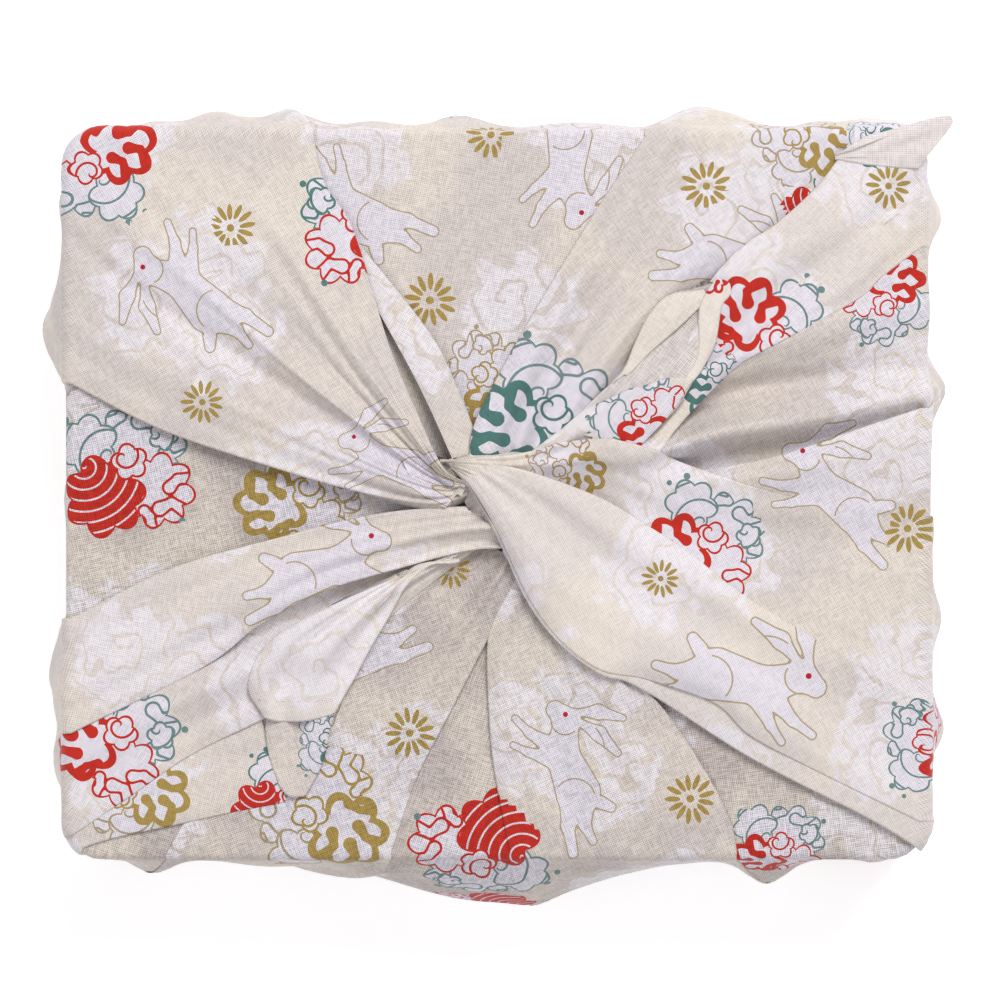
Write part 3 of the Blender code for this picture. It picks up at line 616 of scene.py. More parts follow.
# %% Over the rim and down the wall
def wall_out(points, shares):
    """How far the wall stands out at each point, and at its share of the wrap's height."""
    out = np.zeros(len(points))
    for swell in as_rows(SWELL_COLUMNS, SWELLS):
        away = np.linalg.norm(points - (swell["east"], swell["north"]), axis=1) / swell["half_length"]
        along = np.where(away < 1.6, np.exp(-1.6 * away**2) - math.exp(-1.6 * 2.56), 0.0)
        above = (shares - swell["middle"]) / swell["half_height"]
        out += swell["out"] * along * np.exp(-(above**2))
    for fold in as_rows(WALL_FOLD_COLUMNS, WALL_FOLDS):
        line = np.outer(shares, fold["rim"]) + np.outer(1 - shares, fold["base"])
        away = np.linalg.norm(points - line, axis=1) / fold["half_width"]
        out += fold["height"] * np.exp(-(away**2)) * np.clip((1 - shares) / FOLD_FADE, 0.0, 1.0)
    return out * np.clip(shares / SWELL_FADE, 0.0, 1.0)


ARC = math.pi / 2 * RIM_RADIUS
WALL_LENGTH = ARC + WRAP_HEIGHT - RIM_RADIUS
LAYER = 0.06
# How far a leaf's own height pushes its wall out: at the base, and how much more at the rim.
LIFT_PUSH = (0.05, 0.25)


def over_rim(start, base, lift, past, floor_gap, layer=0.0):
    """Points a distance past the rim, for places along the rim at the rim and at the base."""
    down = np.clip((past - ARC) / (WALL_LENGTH - ARC), 0.0, 1.0)
    along = start + shorter_way(start, base) * down
    foot = rim_values(FILLET_POINTS, along)
    outward = rim_values(RIM_OUTWARD, along)
    bend = np.minimum(past / RIM_RADIUS, math.pi / 2)
    height = WRAP_HEIGHT - RIM_RADIUS * (1 - np.cos(bend)) - np.maximum(past - ARC, 0.0)
    height = np.maximum(height + lift * np.cos(bend), floor_gap)
    share = np.clip(height / WRAP_HEIGHT, 0.0, 1.0)
    rim = foot + outward * RIM_RADIUS
    begun = np.clip((past - ARC * 0.5) / 8.0, 0.0, 1.0)
    swell = wall_out(rim, share) * begun * begun * (3 - 2 * begun)
    out = RIM_RADIUS * np.sin(bend) + lift * np.sin(bend) * (LIFT_PUSH[0] + LIFT_PUSH[1] * share) + swell
    out = out + (layer - BASE_INSET * (1 - share) ** 2) * np.sin(bend)
    return np.column_stack([foot + outward * out[:, None], height])


def leaf_wall(leaf, grid, layer):
    """The rows of a leaf past the rim, and how far past it each row is."""
    columns = grid.shape[1]
    start = np.array([along_rim(p) for p in (grid[-1, 0, :2], grid[-1, -1, :2])])
    start = start[0] + shorter_way(start[0], start[1]) * np.linspace(0, 1, columns)
    ends = [along_rim(BASE_ENDS[leaf[side]]) for side in ("left", "right")]
    base = ends[0] + shorter_way(ends[0], ends[1]) * np.linspace(0, 1, columns)
    lift = grid[-1, :, 2] - WRAP_HEIGHT
    steps = np.concatenate([np.linspace(0, ARC, 6)[1:], np.arange(ARC + WALL_PITCH, WALL_LENGTH, WALL_PITCH)])
    steps = np.append(steps, WALL_LENGTH)
    rows = [over_rim(start, base, lift, np.full(columns, past), 0.35, layer) for past in steps]
    return np.array(rows), steps


# %% [markdown]
# A fold's edge isn't a cut edge: the cloth turns round a small radius and runs back under. So each
# side that shows gets a few more columns, half a turn and then a strip that comes down on the cloth
# below. That rounded lip catches the light and throws the soft shadow that makes the fold read.

# %% The lip of a fold
LIP_RADIUS = 0.5
LIP_TURNS = (36, 80, 125, 168)
TUCKED_COLUMNS = (1, 2, 4)


def unit(vectors):
    """The same vectors, one long."""
    return vectors / np.maximum(np.linalg.norm(vectors, axis=-1, keepdims=True), 1e-6)


def facing(grid, top_rows):
    """The grid's outward normals, and whether its own order of points turns them inwards."""
    normals = unit(np.cross(np.gradient(grid, axis=1), np.gradient(grid, axis=0)))
    turned_in = normals[2:top_rows, :, 2].mean() < 0
    return (-normals if turned_in else normals), turned_in


def lip_columns(grid, side, top_rows, tree, fullness):
    """Columns that go on from one side of a grid: round the fold, then back below the leaf."""
    normals, _ = facing(grid, top_rows)
    edge, inside = (0, 1) if side == "l" else (-1, -2)
    sideways = unit(np.cross(np.gradient(grid, axis=0)[:, edge], normals[:, edge]))
    away = np.sum(sideways * (grid[:, edge] - grid[:, inside]), axis=1).mean()
    sideways = sideways * np.sign(away)
    columns = [grid[:, edge]]
    for turn in LIP_TURNS:
        angle = math.radians(turn)
        around = sideways * math.sin(angle) - normals[:, edge] * (1 - math.cos(angle))
        columns.append(grid[:, edge] + around * LIP_RADIUS * fullness[:, None])
    for step, count in enumerate(TUCKED_COLUMNS):
        inner = min(count, grid.shape[1] // 2)
        inner = inner if side == "l" else -1 - inner
        depth = 2 * LIP_RADIUS * fullness
        gap = grid[:top_rows, inner, 2] - cloth_below(tree, grid[:top_rows, inner]) - 0.1
        share = (step + 1) / len(TUCKED_COLUMNS)
        depth[:top_rows] += (np.clip(gap, 0.05, 12.0) - depth[:top_rows]) * share
        columns.append(grid[:, inner] - normals[:, inner] * depth[:, None])
    strip = np.stack(columns, axis=1)
    strip[:, :, 2] = np.maximum(strip[:, :, 2], 0.1)
    return strip


# %% [markdown]
# The print has three kinds of motif: leaping rabbits, roundels of curling waves, and small flowers.
# They are placed one by one, in the photograph's scale, and each belongs to one leaf, so that a fold
# cuts through it. A second UV map holds each face's place in its motif: one tile for each kind and
# each set of colours. A repeat of the same motifs goes on down the walls and below.

# %% Where the motifs lie
TILE_SIDE = 60.0
EMPTY_TILE = 9.5
KINDS = {
    "rabbit": {"tile": 0, "reach": 29.5},
    "wave": {"tile": 1, "reach": 20.5},
    "flower": {"tile": 2, "reach": 9.0},
}
REVERSE_FINISH = len(KINDS) + 1
PRINT_COLUMNS = ("leaf", "kind", "east", "north", "angle", "size", "hand", "colours")
PRINTS = [
    ("flap", "rabbit", -77, 54, 128, 0.86, 1, 0),
    ("flap", "rabbit", -27.5, 11, 170, 0.7, -1, 0),
    ("north_wedge", "rabbit", -38, 75, 140, 0.88, 1, 0),
    ("north_wedge", "rabbit", 17, 86, -100, 0.85, 1, 0),
    ("north", "rabbit", 60, 61, -15, 0.85, 1, 0),
    ("strip", "rabbit", -43, -15.5, 10, 0.9, 1, 0),
    ("east east_low cross", "rabbit", 83, 3, 150, 0.85, -1, 0),
    ("front", "rabbit", 62, -44, -20, 1.0, 1, 0),
    ("south", "rabbit", 17, -65, 118, 0.85, -1, 0),
    ("lower", "rabbit", -39, -40, 217, 0.85, -1, 0),
    ("flap", "flower", -67, 69.5, 10, 1.0, 1, 0),
    ("flap", "flower", -74, 26, 40, 0.85, 1, 0),
    ("north_wedge", "flower", -2, 93, 5, 1.0, 1, 0),
    ("north_wedge", "flower", -17.3, 51.5, 60, 1.05, 1, 0),
    ("north", "flower", 51.8, 80, 20, 1.0, 1, 0),
    ("band", "flower", 97.3, 80, 10, 0.9, 1, 0),
    ("east_low cross front", "flower", 102, -5.5, 80, 1.0, 1, 0),
    ("front", "flower", 40.3, -18, 30, 0.75, 1, 0),
    ("south", "flower", 47.8, -73, 15, 1.0, 1, 0),
    ("lower", "flower", -22.3, -56.6, 70, 1.0, 1, 0),
    ("lower", "flower", -12, -15.5, 20, 0.8, 1, 0),
    ("flap", "wave", -101, 86, 165, 1.0, 1, 4),
    ("flap", "wave", -33, 71, 190, 1.05, -1, 1),
    ("west_wedge", "wave", -94, 9, 5, 1.1, 1, 0),
    ("west_wedge", "wave", -50, 3, -30, 1.0, 1, 2),
    ("north_wedge", "wave", -3, 31, 60, 0.8, 1, 2),
    ("north", "wave", 10.5, 22.3, -35, 1.2, 1, 3),
    ("north", "wave", 76, 92, 113, 0.8, 1, 2),
    ("north", "wave", 82, 71, -60, 0.8, 1, 1),
    ("band", "wave", 67, 43, -95, 1.0, 1, 4),
    ("band", "wave", 54, 32, 20, 0.65, 1, 3),
    ("band north", "wave", 94, 93, 60, 0.6, 1, 3),
    ("east", "wave", 97, 52, 200, 0.75, 1, 4),
    ("cross", "wave", 51, -8.5, 330, 0.95, 1, 4),
    ("cross", "wave", 17, 9, 120, 0.6, 1, 2),
    ("front cross", "wave", 108, -60, 90, 0.8, 1, 4),
    ("front", "wave", 46, -56, 30, 0.9, 1, 0),
    ("west", "wave", -97, -57, -37, 1.05, 1, 4),
    ("corner", "wave", -92, -72, 133, 0.9, 1, 2),
    ("corner", "wave", -54, -74, -27, 0.8, 1, 1),
    ("lower", "wave", -45, -78, 103, 1.1, 1, 2),
    ("south south_wedge lower", "wave", -4, -88, -167, 1.1, 1, 0),
    ("east_wedge", "wave", 69, -86, -10, 0.8, 1, 4),
    ("ne_low", "wave", 36, 22, 45, 0.8, 1, 4),
    ("sw_end", "wave", -41.5, -59, 80, 0.6, 1, 3),
    ("ne_roll ne_hem", "wave", 53.5, 59.5, 40, 0.4, 1, 4),
]
PRINT_ROWS = as_rows(PRINT_COLUMNS, PRINTS)
print(len(PRINT_ROWS), "motifs on top")

# Down the walls the motifs go on in a half-drop repeat, on all leaves alike.
REPEAT_STEP = (34.0, 40.0)
REPEAT_TURN = 57
WALL_BAND = (22, 60)
ON_WALLS = ("wave", "flower", "rabbit", "wave", "rabbit", "flower")
for column in range(-5, 6):
    for row in range(-4, 5):
        east = WRAP_CENTRE[0] + column * REPEAT_STEP[0]
        north = WRAP_CENTRE[1] + (row + 0.5 * (column % 2)) * REPEAT_STEP[1]
        off_top = (abs(east - WRAP_CENTRE[0]) - WRAP_LENGTH / 2, abs(north - WRAP_CENTRE[1]) - WRAP_DEPTH / 2)
        if WALL_BAND[0] < max(off_top) < WALL_BAND[1]:
            count = column * 2 + row * 3
            kind = ON_WALLS[count % len(ON_WALLS)]
            values = ("all", kind, east, north, count * REPEAT_TURN % 360, 0.9, 1, count % 5)
            PRINT_ROWS.append(dict(zip(PRINT_COLUMNS, values)))
print(len(PRINT_ROWS), "motifs with the walls")

# %% [markdown]
# All leaves go into one mesh, because the cloth is one piece. The mesh keeps two things for the
# material: a UV map with each point's place in the flat cloth, in metres, and an attribute that says
# how much cloth lies under it, with painted shade and painted light mixed in. On the wall the UV map
# simply runs on past the rim.

# %% Collecting the sheet
CLOTH_COORDS = "cloth_place"
MOTIF_COORDS = "motif_place"
BACKING_AND_SHADE = "backing"
sheet = {"points": [], "faces": [], "cloth": [], "motif": [], "backing": [], "finish": []}


def in_cloth(places, leaf):
    """Places on the wrap as places in the printed cloth, in metres."""
    angle = math.radians(leaf["turn"])
    x = places[..., 0] * math.cos(angle) - places[..., 1] * math.sin(angle) + leaf["slip"][0]
    y = places[..., 0] * math.sin(angle) + places[..., 1] * math.cos(angle) + leaf["slip"][1]
    return np.stack([x, y], axis=-1) * MM


def in_motif(places, name):
    """Places as coordinates in the nearest motif's tile, or in the empty tile."""
    found = np.full(places.shape, EMPTY_TILE)
    nearest = np.ones(len(places))
    for motif in PRINT_ROWS:
        if name not in motif["leaf"].split() and motif["leaf"] != "all":
            continue
        angle = math.radians(motif["angle"])
        away = places - (motif["east"], motif["north"])
        x = away[..., 0] * math.cos(angle) + away[..., 1] * math.sin(angle)
        y = away[..., 1] * math.cos(angle) - away[..., 0] * math.sin(angle)
        local = np.stack([x, y * motif["hand"]], axis=-1) / motif["size"]
        share = np.linalg.norm(local, axis=-1).max(axis=1) / KINDS[motif["kind"]]["reach"]
        closer = share < nearest
        tile = np.array([KINDS[motif["kind"]]["tile"], motif["colours"]]) + 0.5
        found[closer] = local[closer] / TILE_SIDE + tile
        nearest = np.where(closer, share, nearest)
    return found


def add_grid(grid, places, past, leaf, backed_and_shaded, reverse=False, flip=False):
    """Adds a grid of points to the sheet, with their places on top or at the rim."""
    rows, columns = grid.shape[:2]
    index = np.arange(rows * columns).reshape(rows, columns)
    corners = [index[:-1, :-1], index[:-1, 1:], index[1:, 1:], index[1:, :-1]]
    corners = np.stack(corners, axis=-1).reshape(-1, 4)
    if flip:
        corners = corners[:, ::-1]
    flat = grid.reshape(-1, 3)[corners][:, :, :2]
    middle = flat.mean(axis=1) - WRAP_CENTRE
    on_end = np.abs(middle[:, 0]) / WRAP_LENGTH > np.abs(middle[:, 1]) / WRAP_DEPTH
    beyond = past.reshape(-1)[corners]
    unrolled = places.reshape(-1, 2)[corners].astype(float)
    for axis in (0, 1):
        across = (on_end if axis == 0 else ~on_end)[:, None]
        further = unrolled[:, :, axis] + np.sign(middle[:, axis])[:, None] * beyond
        along = np.where(beyond > 0, flat[:, :, axis], unrolled[:, :, axis])
        unrolled[:, :, axis] = np.where(across, further, along)
    sheet["faces"].append(corners + sum(len(points) for points in sheet["points"]))
    sheet["points"].append(grid.reshape(-1, 3))
    sheet["cloth"].append(in_cloth(unrolled, leaf))
    motif = in_motif(unrolled, leaf["name"])
    sheet["motif"].append(motif)
    sheet["backing"].append(np.broadcast_to(backed_and_shaded, (rows, columns)).ravel())
    kind = np.floor(motif[:, 0, 0]).astype(int) + 1
    kind[kind > len(KINDS)] = 0
    sheet["finish"].append(np.full(len(corners), REVERSE_FINISH) if reverse else kind)


def below_tree():
    """The sheet so far, for looking down on."""
    return BVHTree.FromPolygons(np.vstack(sheet["points"]).tolist(), np.vstack(sheet["faces"]).tolist())


# %% [markdown]
# The lowest layer covers the whole bundle. It shows in the deep wedges between the leaves. It is a
# grid that runs from the twist out to the rim on every side, down the walls and in under the base,
# where it lies flat.

# %% The ground layer
GROUND_PITCH = 3.0
GROUND_ROWS = 34
UNDER_ROWS = 8
# The print of the wedges, each by the direction in which it lies from the twist, in degrees.
# The ground is one thin layer everywhere: the north wedge's backing of 0.5 is painted light, for the fuller light
# from the north.
WEDGES = [
    {"name": "north_wedge", "from": 40, "to": 135, "turn": 12, "slip": (30, -12), "backed_and_shaded": 0.5},
    {"name": "west_wedge", "from": 135, "to": 215, "turn": -14, "slip": (66, 14), "backed_and_shaded": 0.0},
    {"name": "south_wedge", "from": 215, "to": 290, "turn": 18, "slip": (52, 28), "backed_and_shaded": 0.0},
    {"name": "east_wedge", "from": 290, "to": 400, "turn": -8, "slip": (12, 31), "backed_and_shaded": 0.0},
]


def ground_grid():
    """The ground layer's points, their places for the print, and how far past the rim they are."""
    count = round(RIM_TOTAL / GROUND_PITCH)
    along = np.linspace(0.0, RIM_TOTAL, count + 1)
    rim = rim_values(FILLET_POINTS, along)
    rows, places, past = [], [], []
    for share in np.linspace(0.02, 1.0, GROUND_ROWS):
        flat = np.array(TWIST) * (1 - share) + rim * share
        rows.append(np.column_stack([flat, WRAP_HEIGHT + ground_lift(flat[:, 0], flat[:, 1])]))
        places.append(flat)
        past.append(np.zeros(len(along)))
    lift = rows[-1][:, 2] - WRAP_HEIGHT
    steps = np.concatenate([np.linspace(0, ARC, 5)[1:], np.linspace(ARC, WALL_LENGTH, 20)[1:]])
    for step in steps:
        rows.append(over_rim(along, along, lift, np.full(len(along), step), 0.0))
        places.append(rim)
        past.append(np.full(len(along), step))
    base = rows[-1][:, :2]
    for share in np.linspace(1.0, 0.04, UNDER_ROWS)[1:]:
        flat = np.array(WRAP_CENTRE) * (1 - share) + base * share
        rows.append(np.column_stack([flat, np.zeros(len(along))]))
        places.append(flat)
        past.append(np.zeros(len(along)))
    return np.array(rows), np.array(places), np.array(past)


ground, ground_places, ground_past = ground_grid()
rim_ring = ground_places[GROUND_ROWS - 1] - TWIST
toward = np.degrees(np.arctan2(rim_ring[:, 1], rim_ring[:, 0]))
for wedge in WEDGES:
    angles = np.where(toward < 40, toward + 360, toward)
    inside = np.flatnonzero((angles >= wedge["from"]) & (angles <= wedge["to"]))
    gap = np.flatnonzero(np.diff(inside) > 1)
    runs = np.split(inside, gap + 1)
    for run in runs:
        columns = np.append(run, (run[-1] + 1)) if run[-1] + 1 < len(toward) else run
        grid, places, past = (part[:, columns] for part in (ground, ground_places, ground_past))
        add_grid(grid, places, past, wedge, wedge["backed_and_shaded"], flip=True)
print("the ground layer has", sum(map(len, sheet["faces"])), "faces")

# %% [markdown]
# Now the leaves go on one by one, from the bottom up. Each is settled on what lies below it, gets
# its lips, and goes on down the wall unless it has a free end.

# %% The leaves on the bundle
HEM_ROWS = {"sw_tail": 4, "ne_low": 3}
hem_lines = []
for order, leaf in enumerate(as_rows(LEAF_COLUMNS, LEAVES)):
    tree = below_tree()
    top, u, v = leaf_top(leaf)
    grid = settled(top, u, v, tree, leaf)
    places, past = grid[:, :, :2], np.zeros(grid.shape[:2])
    if leaf["name"] not in FREE_ENDS:
        wall, steps = leaf_wall(leaf, top, LAYER * (order + 1))
        grid = np.concatenate([top, wall])
        past = np.concatenate([past, np.repeat(steps[:, None], top.shape[1], axis=1)])
        places = np.concatenate([places, np.repeat(places[-1:], len(steps), axis=0)])
    reverse = leaf["name"] in REVERSED
    _, turned_in = facing(grid, len(top))
    backed_and_shaded = np.full(grid.shape[:2], leaf["backed_and_shaded"])
    fullness = np.ones(len(grid))
    if leaf["name"] in FADING:
        rows_out = np.minimum(np.arange(len(grid)) / len(top), 1.0)
        faded = smooth_step((rows_out - FADING[leaf["name"]]) / FADE_LENGTH)
        fullness -= FADED_LIP * faded
        backed_and_shaded += (FADED_BACKING_AND_SHADE - backed_and_shaded) * faded[:, None] * (1 - np.linspace(0, 1, grid.shape[1]))
    add_grid(grid, places, past, leaf, backed_and_shaded, reverse, flip=turned_in)
    for side in leaf["lips"]:
        first = side in "lh"
        edge = 0 if first else -1
        parts = [grid, places, past, backed_and_shaded]
        if side not in "lr":
            parts = [np.swapaxes(part, 0, 1) for part in parts]
        along, at, beyond, behind = parts
        rows = len(top) if side in "lr" else len(along)
        full = fullness if side == "l" else np.ones(len(along))
        strip = lip_columns(along, "l" if first else "r", rows, tree, full)
        moved = strip[:, :, :2] - along[:, edge, None, :2]
        across = np.repeat(beyond[:, edge, None], strip.shape[1], axis=1)
        inner = np.repeat(behind[:, edge, None], strip.shape[1], axis=1)
        _, strip_in = facing(along, rows)
        add_grid(strip, at[:, edge, None] + moved, across, leaf, inner, reverse, flip=strip_in != first)
    if leaf["name"] in HEM_ROWS:
        hem_lines.append(grid[-1 - HEM_ROWS[leaf["name"]]])
    print(leaf["name"], "has", grid.shape[0], "rows and", grid.shape[1], "columns")

# %% One mesh for the cloth
cloth_mesh = bpy.data.meshes.new("furoshiki_cloth")
placed = (np.vstack(sheet["points"]) + (SHIFT[0], SHIFT[1], 0.0)) * MM
cloth_mesh.from_pydata(placed.tolist(), [], np.vstack(sheet["faces"]).tolist())
for name, key in ((CLOTH_COORDS, "cloth"), (MOTIF_COORDS, "motif")):
    uv_map = cloth_mesh.uv_layers.new(name=name)
    uv_map.uv.foreach_set("vector", np.vstack(sheet[key]).astype(np.float32).ravel())
# The backing attribute: layers of cloth, plus painted shade over hollows and painted light on the north wedge.
backing = cloth_mesh.attributes.new(BACKING_AND_SHADE, "FLOAT", "POINT")
backing.data.foreach_set("value", np.concatenate(sheet["backing"]).astype(np.float32))
cloth_mesh.polygons.foreach_set("material_index", np.concatenate(sheet["finish"]).astype(np.int32))
cloth_mesh.shade_smooth()
cloth = bpy.data.objects.new("furoshiki_cloth", cloth_mesh)
bpy.context.scene.collection.objects.link(cloth)
cloth_mesh.calc_loop_triangles()
print("the cloth has", len(cloth_mesh.loop_triangles), "triangles")

# %% [markdown]
# The rabbits and the waves are drawn in shader nodes from simple rounded shapes. One node group gives
# the distance from a place to a limb: a line with a round end at each side, thick at one end and thin
# at the other. Below zero is inside. Limbs are joined with a smooth minimum, so they flow together.


# %% A group for a limb
def new_group(name, inputs, outputs):
    """An empty node group with these inputs and outputs, each a name and F or V for its kind."""
    tree = bpy.data.node_groups.new(name, "ShaderNodeTree")
    kinds = {"F": "NodeSocketFloat", "V": "NodeSocketVector", "C": "NodeSocketColor"}
    for way, sockets in (("INPUT", inputs), ("OUTPUT", outputs)):
        for socket, kind in sockets.items():
            tree.interface.new_socket(socket, in_out=way, socket_type=kinds[kind])
    return tree, tree.nodes.new("NodeGroupInput").outputs, tree.nodes.new("NodeGroupOutput").inputs


LIMB_COLUMNS = ("start", "end", "start_radius", "end_radius")
limb_inputs = {"Place": "V", "Start": "V", "End": "V", "Start radius": "F", "End radius": "F"}
limb, given, result = new_group("tapered_limb", limb_inputs, {"Distance": "F"})
rel = add_node(limb, VECTOR_MATH, {0: given["Place"], 1: given["Start"]}, operation="SUBTRACT")
run = add_node(limb, VECTOR_MATH, {0: given["End"], 1: given["Start"]}, operation="SUBTRACT")
part = add_node(limb, VECTOR_MATH, {0: rel, 1: run}, operation="DOT_PRODUCT").outputs["Value"]
whole = add_node(limb, VECTOR_MATH, {0: run, 1: run}, operation="DOT_PRODUCT").outputs["Value"]
share = add_node(limb, MATH, {0: part, 1: whole}, operation="DIVIDE", use_clamp=True)
foot = add_node(limb, VECTOR_MATH, {0: run, 1: share, 2: given["Start"]}, operation="MULTIPLY_ADD")
away = add_node(limb, VECTOR_MATH, {0: given["Place"], 1: foot}, operation="DISTANCE")
radius = add_node(limb, MIX, {0: share, 2: given["Start radius"], 3: given["End radius"]})
near = add_node(limb, MATH, {0: away.outputs["Value"], 1: radius}, operation="SUBTRACT")
limb.links.new(near.outputs[0], result["Distance"])


def joined_limbs(tree, place, rows, blend):
    """The distance from a place to limbs that flow together."""
    body = None
    for row in as_rows(LIMB_COLUMNS, rows):
        shape = add_node(tree, GROUP, node_tree=limb)
        tree.links.new(place, shape.inputs["Place"])
        shape.inputs["Start"].default_value = (*row["start"], 0)
        shape.inputs["End"].default_value = (*row["end"], 0)
        shape.inputs["Start radius"].default_value = row["start_radius"]
        shape.inputs["End radius"].default_value = row["end_radius"]
        both = {0: body, 1: shape, 2: blend}
        body = shape if body is None else add_node(tree, MATH, both, operation="SMOOTH_MIN")
    return body


# %% [markdown]
# A leaping rabbit, seen from its side and facing right. All limbs are in millimetres. The ears are
# two limbs each: thin at the head, full in the middle and narrow again at the round tip.

# %% The rabbit
RABBIT = [
    ((-8.0, -0.6), (4.0, 0.6), 6.6, 4.8),
    ((5.0, 1.2), (10.5, 5.0), 4.8, 3.8),
    ((12.2, 6.2), (16.4, 4.8), 4.2, 2.7),
    ((10.2, 9.2), (4.2, 12.8), 0.9, 2.2),
    ((4.2, 12.8), (-3.4, 15.0), 2.2, 1.1),
    ((12.8, 10.0), (10.0, 15.6), 0.9, 2.1),
    ((10.0, 15.6), (5.0, 21.2), 2.1, 1.0),
    ((7.0, -1.0), (13.8, -5.0), 2.9, 1.4),
    ((13.8, -5.0), (19.6, -6.8), 1.3, 1.1),
    ((4.0, -2.8), (9.0, -8.0), 2.8, 1.2),
    ((9.0, -8.0), (13.0, -11.0), 1.1, 1.0),
    ((-10.5, -3.0), (-15.6, -8.0), 4.8, 2.0),
    ((-15.6, -8.0), (-23.4, -10.4), 1.8, 1.5),
    ((-11.5, -0.6), (-17.5, -3.4), 3.6, 1.8),
    ((-17.5, -3.4), (-23.0, -3.6), 1.6, 1.2),
    ((-14.2, 4.0), (-16.6, 5.8), 2.0, 1.5),
]
BLEND = 1.7
LINE_WIDTH = 0.42
EYE = (13.8, 6.8)
EYE_RADIUS = 0.75

rabbit, given, result = new_group("leaping_rabbit", {"Place": "V"}, {"Inside": "F", "Line": "F", "Eye": "F"})
body = joined_limbs(rabbit, given["Place"], RABBIT, BLEND)
inside = add_node(rabbit, MATH, {0: body, 1: 0.0}, operation="LESS_THAN")
rim_gap = add_node(rabbit, MATH, {0: body}, operation="ABSOLUTE")
outline = add_node(rabbit, MATH, {0: rim_gap, 1: LINE_WIDTH / 2}, operation="LESS_THAN")
# The thigh, the cheek and the inside of an ear are arcs: parts of a circle's outline.
ARCS = [
    {"centre": (-9.5, -2.5), "radius": 6.0, "toward": (1.0, 0.8), "span": 0.45},
    {"centre": (12.2, 5.8), "radius": 4.1, "toward": (-0.9, -1.0), "span": 0.45},
    {"centre": (3.4, 4.5), "radius": 8.6, "toward": (-0.05, 1.0), "span": 0.93},
]
drawn = outline
for arc in ARCS:
    centre = (*arc["centre"], 0)
    rel = add_node(rabbit, VECTOR_MATH, {0: given["Place"], 1: centre}, operation="SUBTRACT")
    length = add_node(rabbit, VECTOR_MATH, {0: rel}, operation="LENGTH").outputs["Value"]
    off = add_node(rabbit, MATH, {0: length, 1: arc["radius"], 2: LINE_WIDTH / 2}, operation="COMPARE")
    way = add_node(rabbit, VECTOR_MATH, {0: rel}, operation="NORMALIZE")
    toward = Vector((*arc["toward"], 0)).normalized()
    facing = add_node(rabbit, VECTOR_MATH, {0: way, 1: toward}, operation="DOT_PRODUCT")
    within = add_node(rabbit, MATH, {0: facing.outputs["Value"], 1: arc["span"]}, operation="GREATER_THAN")
    piece = add_node(rabbit, MATH, {0: off, 1: within}, operation="MULTIPLY")
    drawn = add_node(rabbit, MATH, {0: drawn, 1: piece}, operation="MAXIMUM")
eye_gap = add_node(rabbit, VECTOR_MATH, {0: given["Place"], 1: (*EYE, 0)}, operation="DISTANCE")
eye = add_node(rabbit, MATH, {0: eye_gap.outputs["Value"], 1: EYE_RADIUS}, operation="LESS_THAN")
for socket, value in (("Inside", inside), ("Line", drawn), ("Eye", eye)):
    rabbit.links.new(value.outputs[0], result[socket])

# %% [markdown]
# A wave is a few discs with scalloped edges, one over the other. Some have a spiral line, and some
# have hooks that curl in from the edge. The group below gives one disc.

# %% A group for a curl of water
curl, given, result = new_group(
    "curl_of_water",
    {"Place": "V", "Centre": "V", "Eye": "V", "Radius": "F", "Turn": "F", "Pitch": "F", "Lobes": "F"},
    {"Distance": "F", "Spiral": "F"},
)
rel = add_node(curl, VECTOR_MATH, {0: given["Place"], 1: given["Centre"]}, operation="SUBTRACT")
length = add_node(curl, VECTOR_MATH, {0: rel}, operation="LENGTH").outputs["Value"]
split = add_node(curl, SEPARATE, {0: rel})
angle = add_node(curl, MATH, {0: split.outputs["Y"], 1: split.outputs["X"]}, operation="ARCTAN2")
turned = add_node(curl, MATH, {0: angle, 1: given["Turn"]}, operation="ADD")
lobes = add_node(curl, MATH, {0: turned, 1: given["Lobes"]}, operation="MULTIPLY")
wave = add_node(curl, MATH, {0: lobes}, operation="SINE")
bump = add_node(curl, MATH, {0: wave}, operation="ABSOLUTE")
scallop = add_node(curl, MATH, {0: bump, 1: 0.24, 2: 0.82}, operation="MULTIPLY_ADD")
edge = add_node(curl, MATH, {0: scallop, 1: given["Radius"]}, operation="MULTIPLY")
gap = add_node(curl, MATH, {0: length, 1: edge}, operation="SUBTRACT")
from_eye = add_node(curl, VECTOR_MATH, {0: given["Place"], 1: given["Eye"]}, operation="SUBTRACT")
reach = add_node(curl, VECTOR_MATH, {0: from_eye}, operation="LENGTH").outputs["Value"]
split = add_node(curl, SEPARATE, {0: from_eye})
sweep = add_node(curl, MATH, {0: split.outputs["Y"], 1: split.outputs["X"]}, operation="ARCTAN2")
rings = add_node(curl, MATH, {0: reach, 1: given["Pitch"]}, operation="DIVIDE")
spiral = add_node(curl, MATH, {0: sweep, 1: 0.5 / math.pi, 2: rings}, operation="MULTIPLY_ADD")
wound = add_node(curl, MATH, {0: spiral}, operation="FRACT")
curl.links.new(gap.outputs[0], result["Distance"])
curl.links.new(wound.outputs[0], result["Spiral"])

# %% [markdown]
# The roundel's curls, in millimetres, from the bottom up. "colour" is 0 for the roundel's main colour
# and 1 for its second one. "inked" is the part of each turn of the spiral that is coloured, and None
# there marks the crest.

